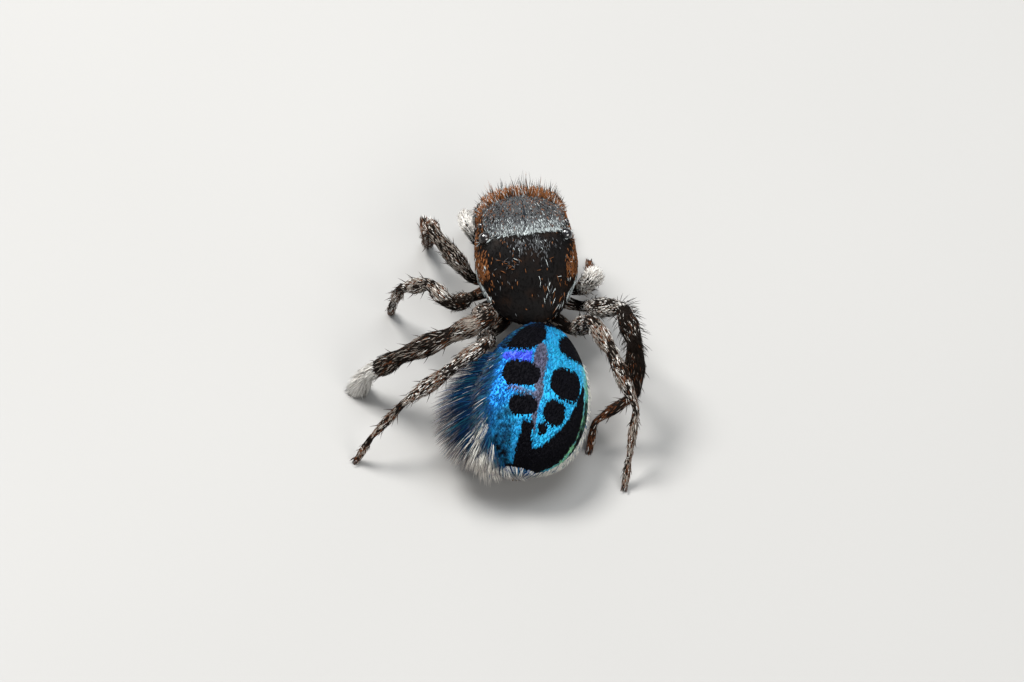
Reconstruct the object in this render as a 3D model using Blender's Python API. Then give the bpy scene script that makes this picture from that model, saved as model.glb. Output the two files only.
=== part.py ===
"""A male peacock spider at life size: a still model standing on its eight feet.

Named sizes are in millimetres and the finished meshes are put in metres at the end.
+Z is up, +Y is where the head points and +X is the spider's right.
In the drawing frame the back edge of the carapace is at x = y = 0 and the floor at z = 0.
"""

import bmesh
import bpy
import numpy as np
from mathutils import Matrix, Vector
from mathutils.bvhtree import BVHTree

MM = 0.001
GAP = 0.045
SIDES = (("left", -1.0), ("right", 1.0))

# Head and thorax: stations from the back edge to the face, each (y, half width, top).
CARAPACE_BACK = 0.0
CARAPACE_FACE = 2.30
CARAPACE_EDGE = 0.84
CARAPACE_STATIONS = (
    (0.00, 0.34, 1.00),
    (0.30, 0.58, 1.20),
    (0.60, 0.76, 1.45),
    (0.95, 0.85, 1.66),
    (1.25, 0.84, 1.76),
    (1.65, 0.80, 1.76),
    (2.00, 0.76, 1.72),
    (2.30, 0.72, 1.65),
)

# Eyes, each (x, y, z, radius) on the right side.
EYES = {
    "front_middle": (0.250, 2.235, 1.24, 0.215),
    "front_side": (0.610, 2.120, 1.38, 0.125),
    "rear_middle": (0.705, 1.620, 1.56, 0.055),
    "rear_side": (0.670, 1.310, 1.61, 0.110),
}

STERNUM_CENTRE = (0.0, 0.95, 0.635)
STERNUM_HALF = (0.34, 0.62, 0.150)

# Chelicerae, fangs and palps: points on the right side.
CHELICERA_TOP = (0.185, 2.13, 0.76)
CHELICERA_TIP = (0.175, 2.22, 0.40)
CHELICERA_RADIUS = 0.150
FANG_ROOT = (0.160, 2.20, 0.33)
FANG_TIP = (0.060, 2.02, 0.235)
PALP_PATH = {
    "left": ((0.38, 1.84, 0.60), (0.68, 1.98, 0.66), (0.87, 2.14, 0.95), (0.84, 2.58, 0.62), (0.64, 2.78, 0.30)),
    "right": ((0.38, 1.84, 0.62), (0.46, 2.06, 0.66), (0.44, 2.44, 0.82), (0.40, 2.66, 0.58), (0.35, 2.72, 0.36)),
}
PALP_RADII = (0.085, 0.090, 0.100, 0.105, 0.120)

# Abdomen: centre, half sizes along its own axes and how it is turned on its stalk.
ABDOMEN_CENTRE = (-0.15, -1.50, 0.90)
ABDOMEN_HALF = (0.94, 1.38, 0.60)
ABDOMEN_YAW = 15.0
ABDOMEN_PITCH = 12.0
ABDOMEN_ROLL = 8.0
PEDICEL_RADIUS = 0.105

# Legs: coxa root and end on the right side, segment lengths and radii for each pair.
COXA_ROOT = {1: (0.32, 1.40, 0.62), 2: (0.41, 1.08, 0.62), 3: (0.41, 0.76, 0.62), 4: (0.32, 0.45, 0.62)}
COXA_TUCKED = {("right", 1): (0.70, 1.26, 0.56)}
COXA_END = {1: (0.81, 1.22, 0.59), 2: (0.91, 0.90, 0.59), 3: (0.88, 0.59, 0.59), 4: (0.68, 0.09, 0.61)}
LENGTHS = {
    1: (1.12, 0.49, 0.64, 0.55, 0.41),
    2: (1.02, 0.52, 0.60, 0.58, 0.44),
    3: (1.32, 0.72, 0.88, 0.82, 0.54),
    4: (1.16, 0.64, 1.00, 0.82, 0.54),
}
RADII = {
    1: (0.126, 0.158, 0.150, 0.142, 0.112, 0.090),
    2: (0.126, 0.160, 0.150, 0.142, 0.108, 0.085),
    3: (0.126, 0.185, 0.175, 0.185, 0.165, 0.120),
    4: (0.135, 0.175, 0.160, 0.145, 0.090, 0.075),
}
SLIM_RADII = {("right", 3): (0.126, 0.180, 0.165, 0.165, 0.105, 0.080)}
SOLE_DEPTH = 0.018

# Pose: azimuth from straight ahead towards the leg's own side, and elevation, in degrees,
# of the femur, patella, tibia and metatarsus, then the azimuth of the tarsus.
POSE = {
    ("left", 1): ((54, 43), (0, -36), (-5, -82), (0, -44), 0),
    ("left", 2): ((148, 40), (36, 8), (62, -35), (38, -72), 10),
    ("left", 3): ((192, 48), (104, -17), (103, -16), (76, -48), 75),
    ("left", 4): ((166, 43), (121, -13), (120, -13), (115, -43), 116),
    ("right", 1): ((-3, -8), (2, 4), (-56, -27), (-112, -10), -145),
    ("right", 2): ((164, 64), (10, -50), (8, -56), (4, -50), 4),
    ("right", 3): ((144, 43), (171, 2), (181, -46), (253, -30), 200),
    ("right", 4): ((158, 57), (157, -8), (157, -28), (195, -49), 196),
}
BEND_RADIUS = 0.24

# Each node of a leg: the joints where it starts and ends, and how many rings of faces it has.
LEG_PIECES = {"coxa": (0, 1, 5), "femur": (1, 2, 9), "tibia": (2, 4, 10), "foot": (4, 6, 9)}

# Coat: each row is (from t, to t, from angle, to angle, count, length in the middle, length at the ends,
# half width, share outwards, share backwards, share down), rooted on a surface's own t and angle.
FRINGE_ROWS = (
    (0.60, 0.05, 172, 186, 13, 0.80, 0.36, 0.075, 0.85, 0.42, 0.08),
    (0.56, 0.08, 196, 205, 10, 0.66, 0.34, 0.080, 0.80, 0.42, 0.28),
    (0.64, 0.16, 150, 160, 9, 0.58, 0.36, 0.080, 0.50, 0.58, 0.12),
    (0.05, 0.50, -8, 4, 13, 0.24, 0.20, 0.060, 0.55, 0.85, 0.05),
)
CREST_COUNT = 12
CREST_LENGTH = 0.30
CREST_BRISTLE_COUNT = 7
CREST_BRISTLE_LENGTH = 0.40
BRISTLE_LENGTH = 0.24
BRISTLE_RADIUS = 0.018
BRUSH_LENGTH = 0.25
BRUSHED = ((-1.0, 3, "tibia"), (-1.0, 3, "foot"), (1.0, 3, "tibia"))

# Bristles of each leg node: share of its length and turn round the leg from its upper side, in degrees.
BRISTLES = {
    "femur": ((0.45, 0), (0.64, -35)),
    "tibia": ((0.22, 60), (0.48, -70), (0.62, 70), (0.80, -60)),
    "foot": ((0.16, 75), (0.24, -75), (0.48, 60)),
}

COLOURS = {
    "carapace": ((0.020, 0.014, 0.012), 0.45),
    "leg": ((0.060, 0.045, 0.035), 0.65),
    "eye": ((0.004, 0.004, 0.005), 0.05),
    "fan": ((0.010, 0.190, 0.480), 0.35),
    "palp": ((0.60, 0.57, 0.52), 0.7),
    "underside": ((0.120, 0.090, 0.070), 0.6),
}


def clear_scene():
    """Remove the start-up objects."""
    for obj in list(bpy.data.objects):
        bpy.data.objects.remove(obj, do_unlink=True)


def material(key):
    """One Principled material for each colour name."""
    found = bpy.data.materials.get(key)
    if found:
        return found
    made = bpy.data.materials.new(key)
    made.use_nodes = True
    shader = made.node_tree.nodes["Principled BSDF"]
    (red, green, blue), roughness = COLOURS[key]
    shader.inputs["Base Color"].default_value = (red, green, blue, 1.0)
    shader.inputs["Roughness"].default_value = roughness
    shader.inputs["Metallic"].default_value = 0.0
    return made


def unit(vector):
    return vector / np.linalg.norm(vector)


def smooth_key(at, stations, values):
    """Value at each place in `at`, easing from one station to the next."""
    stations = np.asarray(stations, float)
    values = np.asarray(values, float)
    index = np.clip(np.searchsorted(stations, at, side="right") - 1, 0, len(stations) - 2)
    share = np.clip((at - stations[index]) / (stations[index + 1] - stations[index]), 0, 1)
    slopes = np.gradient(values, stations)
    step = stations[index + 1] - stations[index]
    rise = (1 + 2 * share) * (1 - share) ** 2 * values[index]
    rise = rise + share**2 * (3 - 2 * share) * values[index + 1]
    rise = rise + share * (1 - share) ** 2 * step * slopes[index]
    return rise + share**2 * (share - 1) * step * slopes[index + 1]


def shaped_sphere(name, shape, segments, rings):
    """A UV sphere whose points are moved by shape(t, angle): t runs from pole to pole, 0 to 1."""
    mesh = bpy.data.meshes.new(name)
    form = bmesh.new()
    bmesh.ops.create_uvsphere(form, u_segments=segments, v_segments=rings, radius=1.0)
    for vert in form.verts:
        x, y, z = vert.co
        t = np.arccos(np.clip(z, -1.0, 1.0)) / np.pi
        vert.co = shape(float(t), float(np.arctan2(y, x)))
    bmesh.ops.triangulate(form, faces=form.faces)
    bmesh.ops.recalc_face_normals(form, faces=form.faces)
    form.to_mesh(mesh)
    form.free()
    obj = bpy.data.objects.new(name, mesh)
    collection.objects.link(obj)
    if signed_volume(mesh) < 0:
        mesh.flip_normals()
    return obj


def signed_volume(mesh):
    """The volume that a closed mesh encloses, negative when its faces look inwards."""
    mesh.calc_loop_triangles()
    points = np.empty(len(mesh.vertices) * 3)
    mesh.vertices.foreach_get("co", points)
    points = points.reshape(-1, 3)
    corners = np.empty(len(mesh.loop_triangles) * 3, int)
    mesh.loop_triangles.foreach_get("vertices", corners)
    a, b, c = (points[corners[k::3]] for k in range(3))
    return float(np.einsum("ij,ij->i", a, np.cross(b, c)).sum() / 6)


def ellipsoid(name, centre, half, segments=12, rings=8):
    """An ellipsoid with its poles up and down."""

    def shape(t, angle):
        around = np.sin(np.pi * t)
        return (
            centre[0] + half[0] * around * np.cos(angle),
            centre[1] + half[1] * around * np.sin(angle),
            centre[2] + half[2] * np.cos(np.pi * t),
        )

    return shaped_sphere(name, shape, segments, rings)


def rounded_path(points, radius, step=0.05):
    """Points along straight runs joined by circular arcs, about `step` apart, and each corner's place."""
    points = [np.asarray(p, float) for p in points]
    made = [points[0]]
    corners = [0]
    for before, corner, after in zip(points, points[1:], points[2:]):
        into, out = unit(corner - before), unit(after - corner)
        turn = np.arccos(np.clip(into @ out, -1.0, 1.0))
        if turn < 0.02:
            made.append(corner)
            corners.append(len(made) - 1)
            continue
        room = 0.46 * min(np.linalg.norm(corner - before), np.linalg.norm(after - corner))
        cut = min(radius * np.tan(turn / 2), room)
        bend = cut / np.tan(turn / 2)
        across = unit(out - into * (into @ out))
        count = max(4, 2 * int(np.ceil(turn * bend / step / 2)))
        start = corner - into * cut
        for k in range(count + 1):
            angle = turn * k / count
            made.append(start + into * bend * np.sin(angle) + across * bend * (1 - np.cos(angle)))
        corners.append(len(made) - 1 - count // 2)
    made.append(points[-1])
    corners.append(len(made) - 1)
    return np.array(made), corners


def path_lengths(path):
    return np.concatenate([[0.0], np.cumsum(np.linalg.norm(np.diff(path, axis=0), axis=1))])


def carried_frames(path):
    """Two unit vectors across the path at each point, carried along it without twist."""
    tangent = np.gradient(path, axis=0)
    tangent /= np.linalg.norm(tangent, axis=1)[:, None]
    side = unit(np.cross(tangent[0], (0.13, 0.21, 1.0)))
    sides, ups = [], []
    for direction in tangent:
        side = unit(side - direction * (side @ direction))
        sides.append(side)
        ups.append(np.cross(direction, side))
    return tangent, np.array(sides), np.array(ups)


def limb(name, path, radius_at, ends, segments=9, rings=9, blunt=(0.45, 0.45)):
    """A closed tube along part of a path, from length ends[0] to ends[1], with blunt domed ends.

    radius_at(length) is the tube's radius, and blunt is how domed each end is."""
    length = path_lengths(path)
    _, side, up = carried_frames(path)
    low, high = ends
    edge_low, edge_high = radius_at(low), radius_at(high)

    def shape(t, angle):
        dome_low, dome_high = blunt[0] * edge_low, blunt[1] * edge_high
        share = t * (rings + 2) - 1
        place = low + dome_low + (high - low - dome_low - dome_high) * np.clip(share / rings, 0, 1)
        scale = 1.0
        if share < 0:
            place, scale = low + dome_low * (1 + share) * 0.35, np.sqrt(np.clip(1 + share, 0, 1)) * 0.92
        if share > rings:
            past = np.clip(rings + 1 - share, 0, 1)
            place, scale = high - dome_high * past * 0.35, np.sqrt(past) * 0.92
        centre = [np.interp(place, length, path[:, k]) for k in range(3)]
        sideways = np.array([np.interp(place, length, side[:, k]) for k in range(3)])
        upward = np.array([np.interp(place, length, up[:, k]) for k in range(3)])
        reach = radius_at(place) * scale
        return Vector(centre + reach * (np.cos(angle) * unit(sideways) + np.sin(angle) * unit(upward)))

    return shaped_sphere(name, shape, segments, rings + 2)


def cut_flat(obj, place, normal, spare=0.0):
    """Slice away what lies behind a plane by more than `spare` and close the cut with a flat face."""
    place, normal = np.array(place), unit(np.array(normal, float))
    depth = min((np.array(vert.co) - place) @ normal for vert in obj.data.vertices)
    if depth > -spare:
        return
    form = bmesh.new()
    form.from_mesh(obj.data)
    everything = form.verts[:] + form.edges[:] + form.faces[:]
    bmesh.ops.bisect_plane(form, geom=everything, dist=1e-5, plane_co=place, plane_no=normal, clear_inner=True)
    rim = [edge for edge in form.edges if edge.is_boundary]
    bmesh.ops.contextual_create(form, geom=rim)
    bmesh.ops.recalc_face_normals(form, faces=form.faces)
    form.to_mesh(obj.data)
    form.free()


def subtract(obj, cutters):
    """Take closed cutter objects out of obj, apply the cuts and remove the cutters."""
    for cutter in cutters:
        modifier = obj.modifiers.new("socket", "BOOLEAN")
        modifier.operation = "DIFFERENCE"
        modifier.object = cutter
    graph = bpy.context.evaluated_depsgraph_get()
    graph.update()
    obj.data = bpy.data.meshes.new_from_object(obj.evaluated_get(graph))
    obj.modifiers.clear()
    for cutter in cutters:
        bpy.data.objects.remove(cutter, do_unlink=True)


# Coat

def site(shape, t, angle):
    """A point of a shaped surface, its outward normal and the way in which t grows."""
    here = np.array(shape(t, angle))
    along = np.array(shape(t + 0.01, angle)) - np.array(shape(t - 0.01, angle))
    around = np.array(shape(t, angle + 0.02)) - np.array(shape(t, angle - 0.02))
    return here, unit(np.cross(along, around)), unit(along)


def tuft(root, way, lift, length, width, thickness, bend, sides=4, rings=4):
    """A closed tapering lock or bristle that runs along `way` and bends towards `lift`."""
    way = unit(way)
    across = unit(np.cross(way, lift))
    over = np.cross(across, way)

    def shape(t, angle):
        centre = root + way * length * t + lift * bend * length * t**2
        size = min(1.0, 6 * t) * (1 - t) ** 0.7 * 1.1
        return Vector(centre + size * (width * np.cos(angle) * across + thickness * np.sin(angle) * over))

    return shaped_sphere("tuft", shape, sides, rings)


def fuse(obj, tufts):
    """Join tufts to the piece that they grow from with one union, and keep its largest closed surface."""
    coat = bpy.data.collections.new("coat")
    for made in tufts:
        collection.objects.unlink(made)
        coat.objects.link(made)
    modifier = obj.modifiers.new("coat", "BOOLEAN")
    modifier.operation = "UNION"
    modifier.operand_type = "COLLECTION"
    modifier.collection = coat
    modifier.solver = "EXACT"
    graph = bpy.context.evaluated_depsgraph_get()
    graph.update()
    obj.data = bpy.data.meshes.new_from_object(obj.evaluated_get(graph))
    obj.modifiers.clear()
    for made in tufts:
        bpy.data.objects.remove(made, do_unlink=True)
    bpy.data.collections.remove(coat)
    keep_largest(obj.data)


def keep_largest(mesh):
    """Drop every closed surface but the one with the most faces."""
    form = bmesh.new()
    form.from_mesh(mesh)
    left = set(form.verts)
    surfaces = []
    while left:
        found = {left.pop()}
        edge = list(found)
        while edge:
            near = {other.other_vert(vert) for vert in edge for other in vert.link_edges} & left
            left -= near
            found |= near
            edge = list(near)
        surfaces.append(found)
    largest = max(surfaces, key=len)
    bmesh.ops.delete(form, geom=[vert for vert in form.verts if vert not in largest], context="VERTS")
    form.to_mesh(mesh)
    form.free()


def leg_coat(pair, piece, path, radius_at, ends, sign, draw):
    """Bristles for one leg node, and on the third pair's tibia and foot the locks of their dark brush."""
    length = path_lengths(path)
    tangent = carried_frames(path)[0]

    def place(share, turn):
        at = ends[0] + (ends[1] - ends[0]) * share
        centre = np.array([np.interp(at, length, path[:, k]) for k in range(3)])
        ahead = unit(np.array([np.interp(at, length, tangent[:, k]) for k in range(3)]))
        upper = np.array((0.35 * sign, 0.10, 1.0))
        upper = unit(upper - ahead * (upper @ ahead))
        side = np.cross(ahead, upper)
        normal = np.cos(np.radians(turn)) * upper + np.sin(np.radians(turn)) * side
        return centre, normal, ahead, radius_at(at)

    made = []
    for share, turn in BRISTLES[piece]:
        centre, normal, ahead, reach = place(share, turn + draw.uniform(-10, 10))
        root = centre + normal * reach * 0.70
        way = normal * 0.75 + ahead * 0.65
        size = BRISTLE_LENGTH * draw.uniform(0.85, 1.1)
        made.append(tuft(root, way, ahead, size, BRISTLE_RADIUS, BRISTLE_RADIUS, 0.15, 3, 3))
    if (sign, pair, piece) in BRUSHED:
        last = 0.78 if piece == "tibia" else 0.58
        for k, share in enumerate(np.linspace(0.10, last, 8)):
            centre, normal, ahead, reach = place(share, (-150, -60, 20, 110)[k % 4] + draw.uniform(-15, 15))
            root = centre + normal * reach * 0.62
            way = normal * 0.34 + ahead * 0.94
            made.append(tuft(root, way, normal, BRUSH_LENGTH, 0.062, 0.034, -0.10))
    return made


# Head and thorax

def carapace_point(t, angle):
    """The carapace's surface: a rounded box section, closed by a blunt face and a tapering back."""
    y = CARAPACE_BACK + (CARAPACE_FACE - CARAPACE_BACK) * (0.5 - 0.5 * np.cos(np.pi * t))
    share = (y - CARAPACE_BACK) / (CARAPACE_FACE - CARAPACE_BACK)
    places, widths, tops = np.array(CARAPACE_STATIONS).T
    half_width = float(smooth_key(y, places, widths))
    top = float(smooth_key(y, places, tops))
    close_back = np.sqrt(np.clip(1 - (1 - np.clip(share / 0.10, 0, 1)) ** 2, 0, 1))
    close_face = np.sqrt(np.clip(1 - (1 - np.clip((1 - share) / 0.055, 0, 1)) ** 2, 0, 1))
    close = close_back * close_face
    middle = CARAPACE_EDGE + 0.36 * (top - CARAPACE_EDGE)
    squareness = 0.62 + 0.26 * np.clip(1.0 - y, 0, 1) + 0.20 * np.clip((y - 1.7) / 0.6, 0, 1)
    across = np.sign(np.cos(angle)) * abs(np.cos(angle)) ** squareness
    rise = abs(np.sin(angle)) ** squareness
    if np.sin(angle) >= 0:
        z = middle + (top - middle) * rise * close
    else:
        z = middle - (middle - CARAPACE_EDGE) * rise ** 0.6 * close
        half_width *= 1 - 0.15 * (middle - z) / (middle - CARAPACE_EDGE)
    return Vector((half_width * across * close, y, z))


def build_carapace():
    """The carapace with a socket for each eye, and the eyes in them."""
    carapace = shaped_sphere("carapace", carapace_point, 26, 19)
    sockets = []
    for eye, (x, y, z, radius) in EYES.items():
        for side, sign in SIDES:
            place = (sign * x, y, z)
            fine = (14, 10) if radius > 0.2 else (10, 7)
            ball = ellipsoid(f"eye_{eye}_{side}", place, (radius,) * 3, *fine)
            finish(ball, place, "eye")
            socket = ellipsoid("socket", place, (radius + GAP,) * 3, *fine)
            sockets.append(socket)
    subtract(carapace, sockets)
    draw = np.random.default_rng(3)
    crest = []
    for k in range(CREST_COUNT):
        turn = 28 + 124 * k / (CREST_COUNT - 1)
        point, normal, forward = site(carapace_point, 0.85, np.radians(turn + draw.uniform(-3, 3)))
        way = normal * 0.9 + forward * 0.55 + np.array((point[0] * 0.35, 0.0, 0.35))
        size = CREST_LENGTH * draw.uniform(0.85, 1.1)
        crest.append(tuft(point - normal * 0.05, way, forward, size, 0.065, 0.034, 0.15))
    for k in range(CREST_BRISTLE_COUNT):
        turn = 48 + 84 * k / (CREST_BRISTLE_COUNT - 1)
        point, normal, forward = site(carapace_point, 0.84, np.radians(turn + draw.uniform(-3, 3)))
        way = normal + forward * 0.25 + np.array((point[0] * 0.35, 0.0, 0.35))
        size = CREST_BRISTLE_LENGTH * draw.uniform(0.9, 1.05)
        crest.append(tuft(point - normal * 0.05, way, forward, size, BRISTLE_RADIUS, BRISTLE_RADIUS, 0.15, 3, 3))
    finish(carapace, (0, 0, CARAPACE_EDGE), "carapace", crest)


def palp_coat(path, radius_at, ends, sign):
    """White locks along the outer and upper side of a palp's tip."""
    length = path_lengths(path)
    tangent = carried_frames(path)[0]
    made = []
    for share in (0.12, 0.28, 0.44, 0.60, 0.74):
        at = ends[0] + (ends[1] - ends[0]) * share
        centre = np.array([np.interp(at, length, path[:, k]) for k in range(3)])
        ahead = unit(np.array([np.interp(at, length, tangent[:, k]) for k in range(3)]))
        outer = np.array((0.5 * sign, 0.4, 0.7))
        outer = unit(outer - ahead * (outer @ ahead))
        root = centre + outer * radius_at(at) * 0.6
        made.append(tuft(root, outer * 0.42 + ahead * 0.90, ahead, 0.24, 0.055, 0.030, 0.10))
    return made


def build_underside():
    """The sternum plate, the stalk to the abdomen, the jaws, fangs and palps."""

    def sternum_point(t, angle):
        around = np.sin(np.pi * t) ** 0.35
        return Vector((
            STERNUM_CENTRE[0] + STERNUM_HALF[0] * around * np.cos(angle),
            STERNUM_CENTRE[1] + STERNUM_HALF[1] * around * np.sin(angle),
            STERNUM_CENTRE[2] + STERNUM_HALF[2] * np.cos(np.pi * t),
        ))

    sternum = shaped_sphere("sternum", sternum_point, 20, 10)
    finish(sternum, STERNUM_CENTRE, "underside")

    for side, sign in SIDES:
        mirror = np.array((sign, 1.0, 1.0))
        jaw_path = np.linspace(np.array(CHELICERA_TOP) * mirror, np.array(CHELICERA_TIP) * mirror, 8)
        jaw_length = path_lengths(jaw_path)[-1]

        def jaw_radius(place, jaw_length=jaw_length):
            return CHELICERA_RADIUS * (1.0 - 0.25 * (place / jaw_length) ** 2)

        jaw = limb(f"chelicera_{side}", jaw_path, jaw_radius, (0.0, jaw_length), 12, 7)
        finish(jaw, jaw_path[0], "carapace")

        root, tip = np.array(FANG_ROOT) * mirror, np.array(FANG_TIP) * mirror
        bow = (root + tip) / 2 + np.array((0.0, -0.01, -0.035))
        fang_path, _ = rounded_path((root, bow, tip), 0.2, 0.04)
        fang_length = path_lengths(fang_path)[-1]

        def fang_radius(place, fang_length=fang_length):
            return 0.042 * (1.0 - 0.72 * place / fang_length)

        fang = limb(f"fang_{side}", fang_path, fang_radius, (0.0, fang_length), 8, 5)
        finish(fang, root, "carapace")

        palp_path, corners = rounded_path([np.array(p) * mirror for p in PALP_PATH[side]], 0.16, 0.05)
        place = path_lengths(palp_path)
        keys = place[corners]

        def palp_radius(at, keys=keys):
            return float(smooth_key(at, keys, PALP_RADII))

        half_gap = GAP / 2
        spans = (("femur", 0.0, keys[2] - half_gap), ("tip", keys[2] + half_gap, keys[4]))
        for piece, low, high in spans:
            palp = limb(f"palp_{piece}_{side}", palp_path, palp_radius, (low, high), 10, 8)
            locks = palp_coat(palp_path, palp_radius, (low, high), sign) if piece == "tip" else ()
            finish(palp, palp_path[0] if piece == "femur" else palp_path[corners[2]], "palp", locks)


# Abdomen

def abdomen_turn():
    """The abdomen's rotation: yaw swings the tail to the left, pitch lowers it, roll tips it right."""
    yaw = Matrix.Rotation(np.radians(-ABDOMEN_YAW), 3, "Z")
    pitch = Matrix.Rotation(np.radians(ABDOMEN_PITCH), 3, "X")
    roll = Matrix.Rotation(np.radians(ABDOMEN_ROLL), 3, "Y")
    return yaw @ pitch @ roll


def abdomen_local(along, angle):
    """A point on the abdomen in its own axes: along runs from -1 at the tail to 1 at the front,
    and angle from 0 at its right side to 90 degrees on top."""
    half_x, half_y, half_z = ABDOMEN_HALF
    girth = (1 - abs(along) ** 2.3) ** 0.5 * (1 - 0.16 * along - 0.06 * along**2)
    across = np.cos(angle)
    rise = np.sin(angle)
    x = half_x * girth * np.sign(across) * abs(across) ** 0.88
    z = half_z * girth * (rise**0.86 if rise > 0 else 0.84 * rise)
    return Vector((x, half_y * along, z))


def build_abdomen():
    """The abdomen, the stalk in front of it and the spinnerets behind and under it."""
    turn = abdomen_turn()
    centre = Vector(ABDOMEN_CENTRE)

    def shape(t, angle):
        return centre + turn @ abdomen_local(-np.cos(np.pi * t), angle)

    abdomen = shaped_sphere("abdomen", shape, 27, 19)
    draw = np.random.default_rng(5)
    fringe = []
    for low, high, first, last, count, middle, end, width, out, back, down in FRINGE_ROWS:
        for k in range(count):
            share = (k + 0.5) / count
            angle = np.radians(first + (last - first) * share + draw.uniform(-3, 3))
            point, normal, forward = site(shape, low + (high - low) * share, angle)
            size = (end + (middle - end) * np.sin(np.pi * share)) * draw.uniform(0.9, 1.08)
            way = normal * out - forward * back - np.array((0.0, 0.0, down))
            fringe.append(tuft(point - normal * 0.07, way, -forward, size, width, 0.030, 0.22))
    finish(abdomen, ABDOMEN_CENTRE, "fan", fringe)

    under = np.radians(-90)
    meet, near = (centre + turn @ abdomen_local(along, under) for along in (0.86, 0.84))
    slope = unit(np.array(meet - near))
    out = unit(np.array(turn @ Vector((1, 0, 0))))
    out = unit(np.cross(slope, out))
    out *= np.sign(out[1])
    back = np.array((0.0, STERNUM_CENTRE[1] - STERNUM_HALF[1] - GAP, STERNUM_CENTRE[2]))
    stalk_points = (back, back + np.array((0.0, -0.16, 0.0)), np.array(meet) + out * 0.16, np.array(meet) + out * 0.06)
    stalk_path, _ = rounded_path(stalk_points, 0.2, 0.04)
    stalk_length = path_lengths(stalk_path)[-1]
    stalk = limb("pedicel", stalk_path, lambda place: PEDICEL_RADIUS, (0.0, stalk_length), 12, 5, (0.2, 0.2))
    finish(stalk, back, "carapace")

    tail = np.array(centre + turn @ abdomen_local(-0.80, under))
    away = unit(np.array(turn @ Vector((0, -0.80, -0.60))))
    start = tail + away * (GAP + 0.03)
    spin_path = np.linspace(start, start + away * 0.17, 5)
    spinnerets = limb("spinnerets", spin_path, lambda place: 0.11 - 0.25 * place, (0.0, 0.17), 12, 4, (0.3, 0.3))
    finish(spinnerets, start, "underside")


# Legs

def direction(azimuth, elevation, sign):
    """A unit vector at an azimuth from straight ahead towards the leg's own side."""
    a, e = np.radians(azimuth), np.radians(elevation)
    return np.array((sign * np.sin(a) * np.cos(e), np.cos(a) * np.cos(e), np.sin(e)))


def leg_joints(side, pair, toe_height):
    """The leg's joints from coxa root to toe. The tarsus drops from where it starts to the toe's height."""
    sign = dict(SIDES)[side]
    mirror = np.array((sign, 1.0, 1.0))
    end = COXA_TUCKED.get((side, pair), COXA_END[pair])
    joints = [np.array(COXA_ROOT[pair]) * mirror, np.array(end) * mirror]
    *bends, toe_azimuth = POSE[side, pair]
    lengths = LENGTHS[pair]
    for (azimuth, elevation), length in zip(bends, lengths):
        joints.append(joints[-1] + length * direction(azimuth, elevation, sign))
    drop = min((joints[-1][2] - toe_height) / lengths[-1], 0.97)
    joints.append(joints[-1] + lengths[-1] * direction(toe_azimuth, -np.degrees(np.arcsin(drop)), sign))
    return joints


def leg_radius(side, pair, keys):
    """The leg's radius along its length: full in the middle of a segment and narrower at its joints."""
    radii = SLIM_RADII.get((side, pair), RADII[pair])
    places, values = [keys[0]], [radii[0]]
    for k, radius in enumerate(radii):
        places.append((keys[k] + keys[k + 1]) / 2)
        values.append(radius)
        after = radii[k + 1] if k + 1 < len(radii) else radius
        places.append(keys[k + 1])
        values.append(0.82 * min(radius, after) if k + 1 < len(radii) else 0.88 * radius)
    return lambda place: float(smooth_key(place, places, values))


def leg_piece(side, pair, piece, toe_height):
    """One node of a leg and the place where it starts."""
    path, corners = rounded_path(leg_joints(side, pair, toe_height), BEND_RADIUS, 0.04)
    keys = path_lengths(path)[corners]
    first, last, rings = LEG_PIECES[piece]
    low = keys[first] + GAP / 2
    high = keys[last] - (GAP / 2 if last < 6 else 0.0)
    obj = limb(f"leg{pair}_{side}_{piece}", path, leg_radius(side, pair, keys), (low, high), 9, rings, (0.35, 0.35))
    tangent = carried_frames(path)[0]
    for corner, sign in ((first, 1), (last, -1)):
        if 0 < corner < 6:
            inwards = sign * tangent[corners[corner]]
            cut_flat(obj, path[corners[corner]] + inwards * GAP / 2, inwards, 0.014)
    grown = (path, leg_radius(side, pair, keys), (low, high))
    return obj, [np.interp(low, path_lengths(path), path[:, k]) for k in range(3)], grown


def build_leg(side, pair):
    """The leg's four nodes, with the toe set so that the cut through its pad leaves a small flat sole."""
    toe_height = 0.06
    for _ in range(4):
        foot = leg_piece(side, pair, "foot", toe_height)[0]
        lowest = min(vert.co.z for vert in foot.data.vertices)
        toe_height -= lowest + SOLE_DEPTH
        bpy.data.objects.remove(foot, do_unlink=True)
    draw = np.random.default_rng(10 * pair + len(side))
    for piece in LEG_PIECES:
        obj, origin, grown = leg_piece(side, pair, piece, toe_height)
        if piece == "foot":
            cut_flat(obj, (0, 0, 0), (0, 0, 1))
        tufts = leg_coat(pair, piece, *grown, dict(SIDES)[side], draw) if piece in BRISTLES else ()
        finish(obj, origin, "leg", tufts)


# Putting the finished pieces in place

def finish(obj, origin, colour, tufts=()):
    """Colour and note a finished piece, with its origin where it grows from and the tufts of its coat."""
    obj.data.materials.clear()
    obj.data.materials.append(material(colour))
    finished.append((obj, Vector(origin), tufts))


def grow_coats():
    """Fuse each coat to its piece, leaving out the tufts that would come within a gap of another piece."""
    trees = {obj: surface_tree(obj) for obj, _, _ in finished}
    for obj, _, tufts in finished:
        others = [tree for other, tree in trees.items() if other != obj]
        kept = [made for made in tufts if is_clear(made, others)]
        for made in set(tufts) - set(kept):
            bpy.data.objects.remove(made, do_unlink=True)
        if kept:
            fuse(obj, kept)
            trees[obj] = surface_tree(obj)


def surface_tree(obj):
    """A search tree over a piece's faces."""
    mesh = obj.data
    return BVHTree.FromPolygons([v.co for v in mesh.vertices], [face.vertices for face in mesh.polygons])


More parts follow.
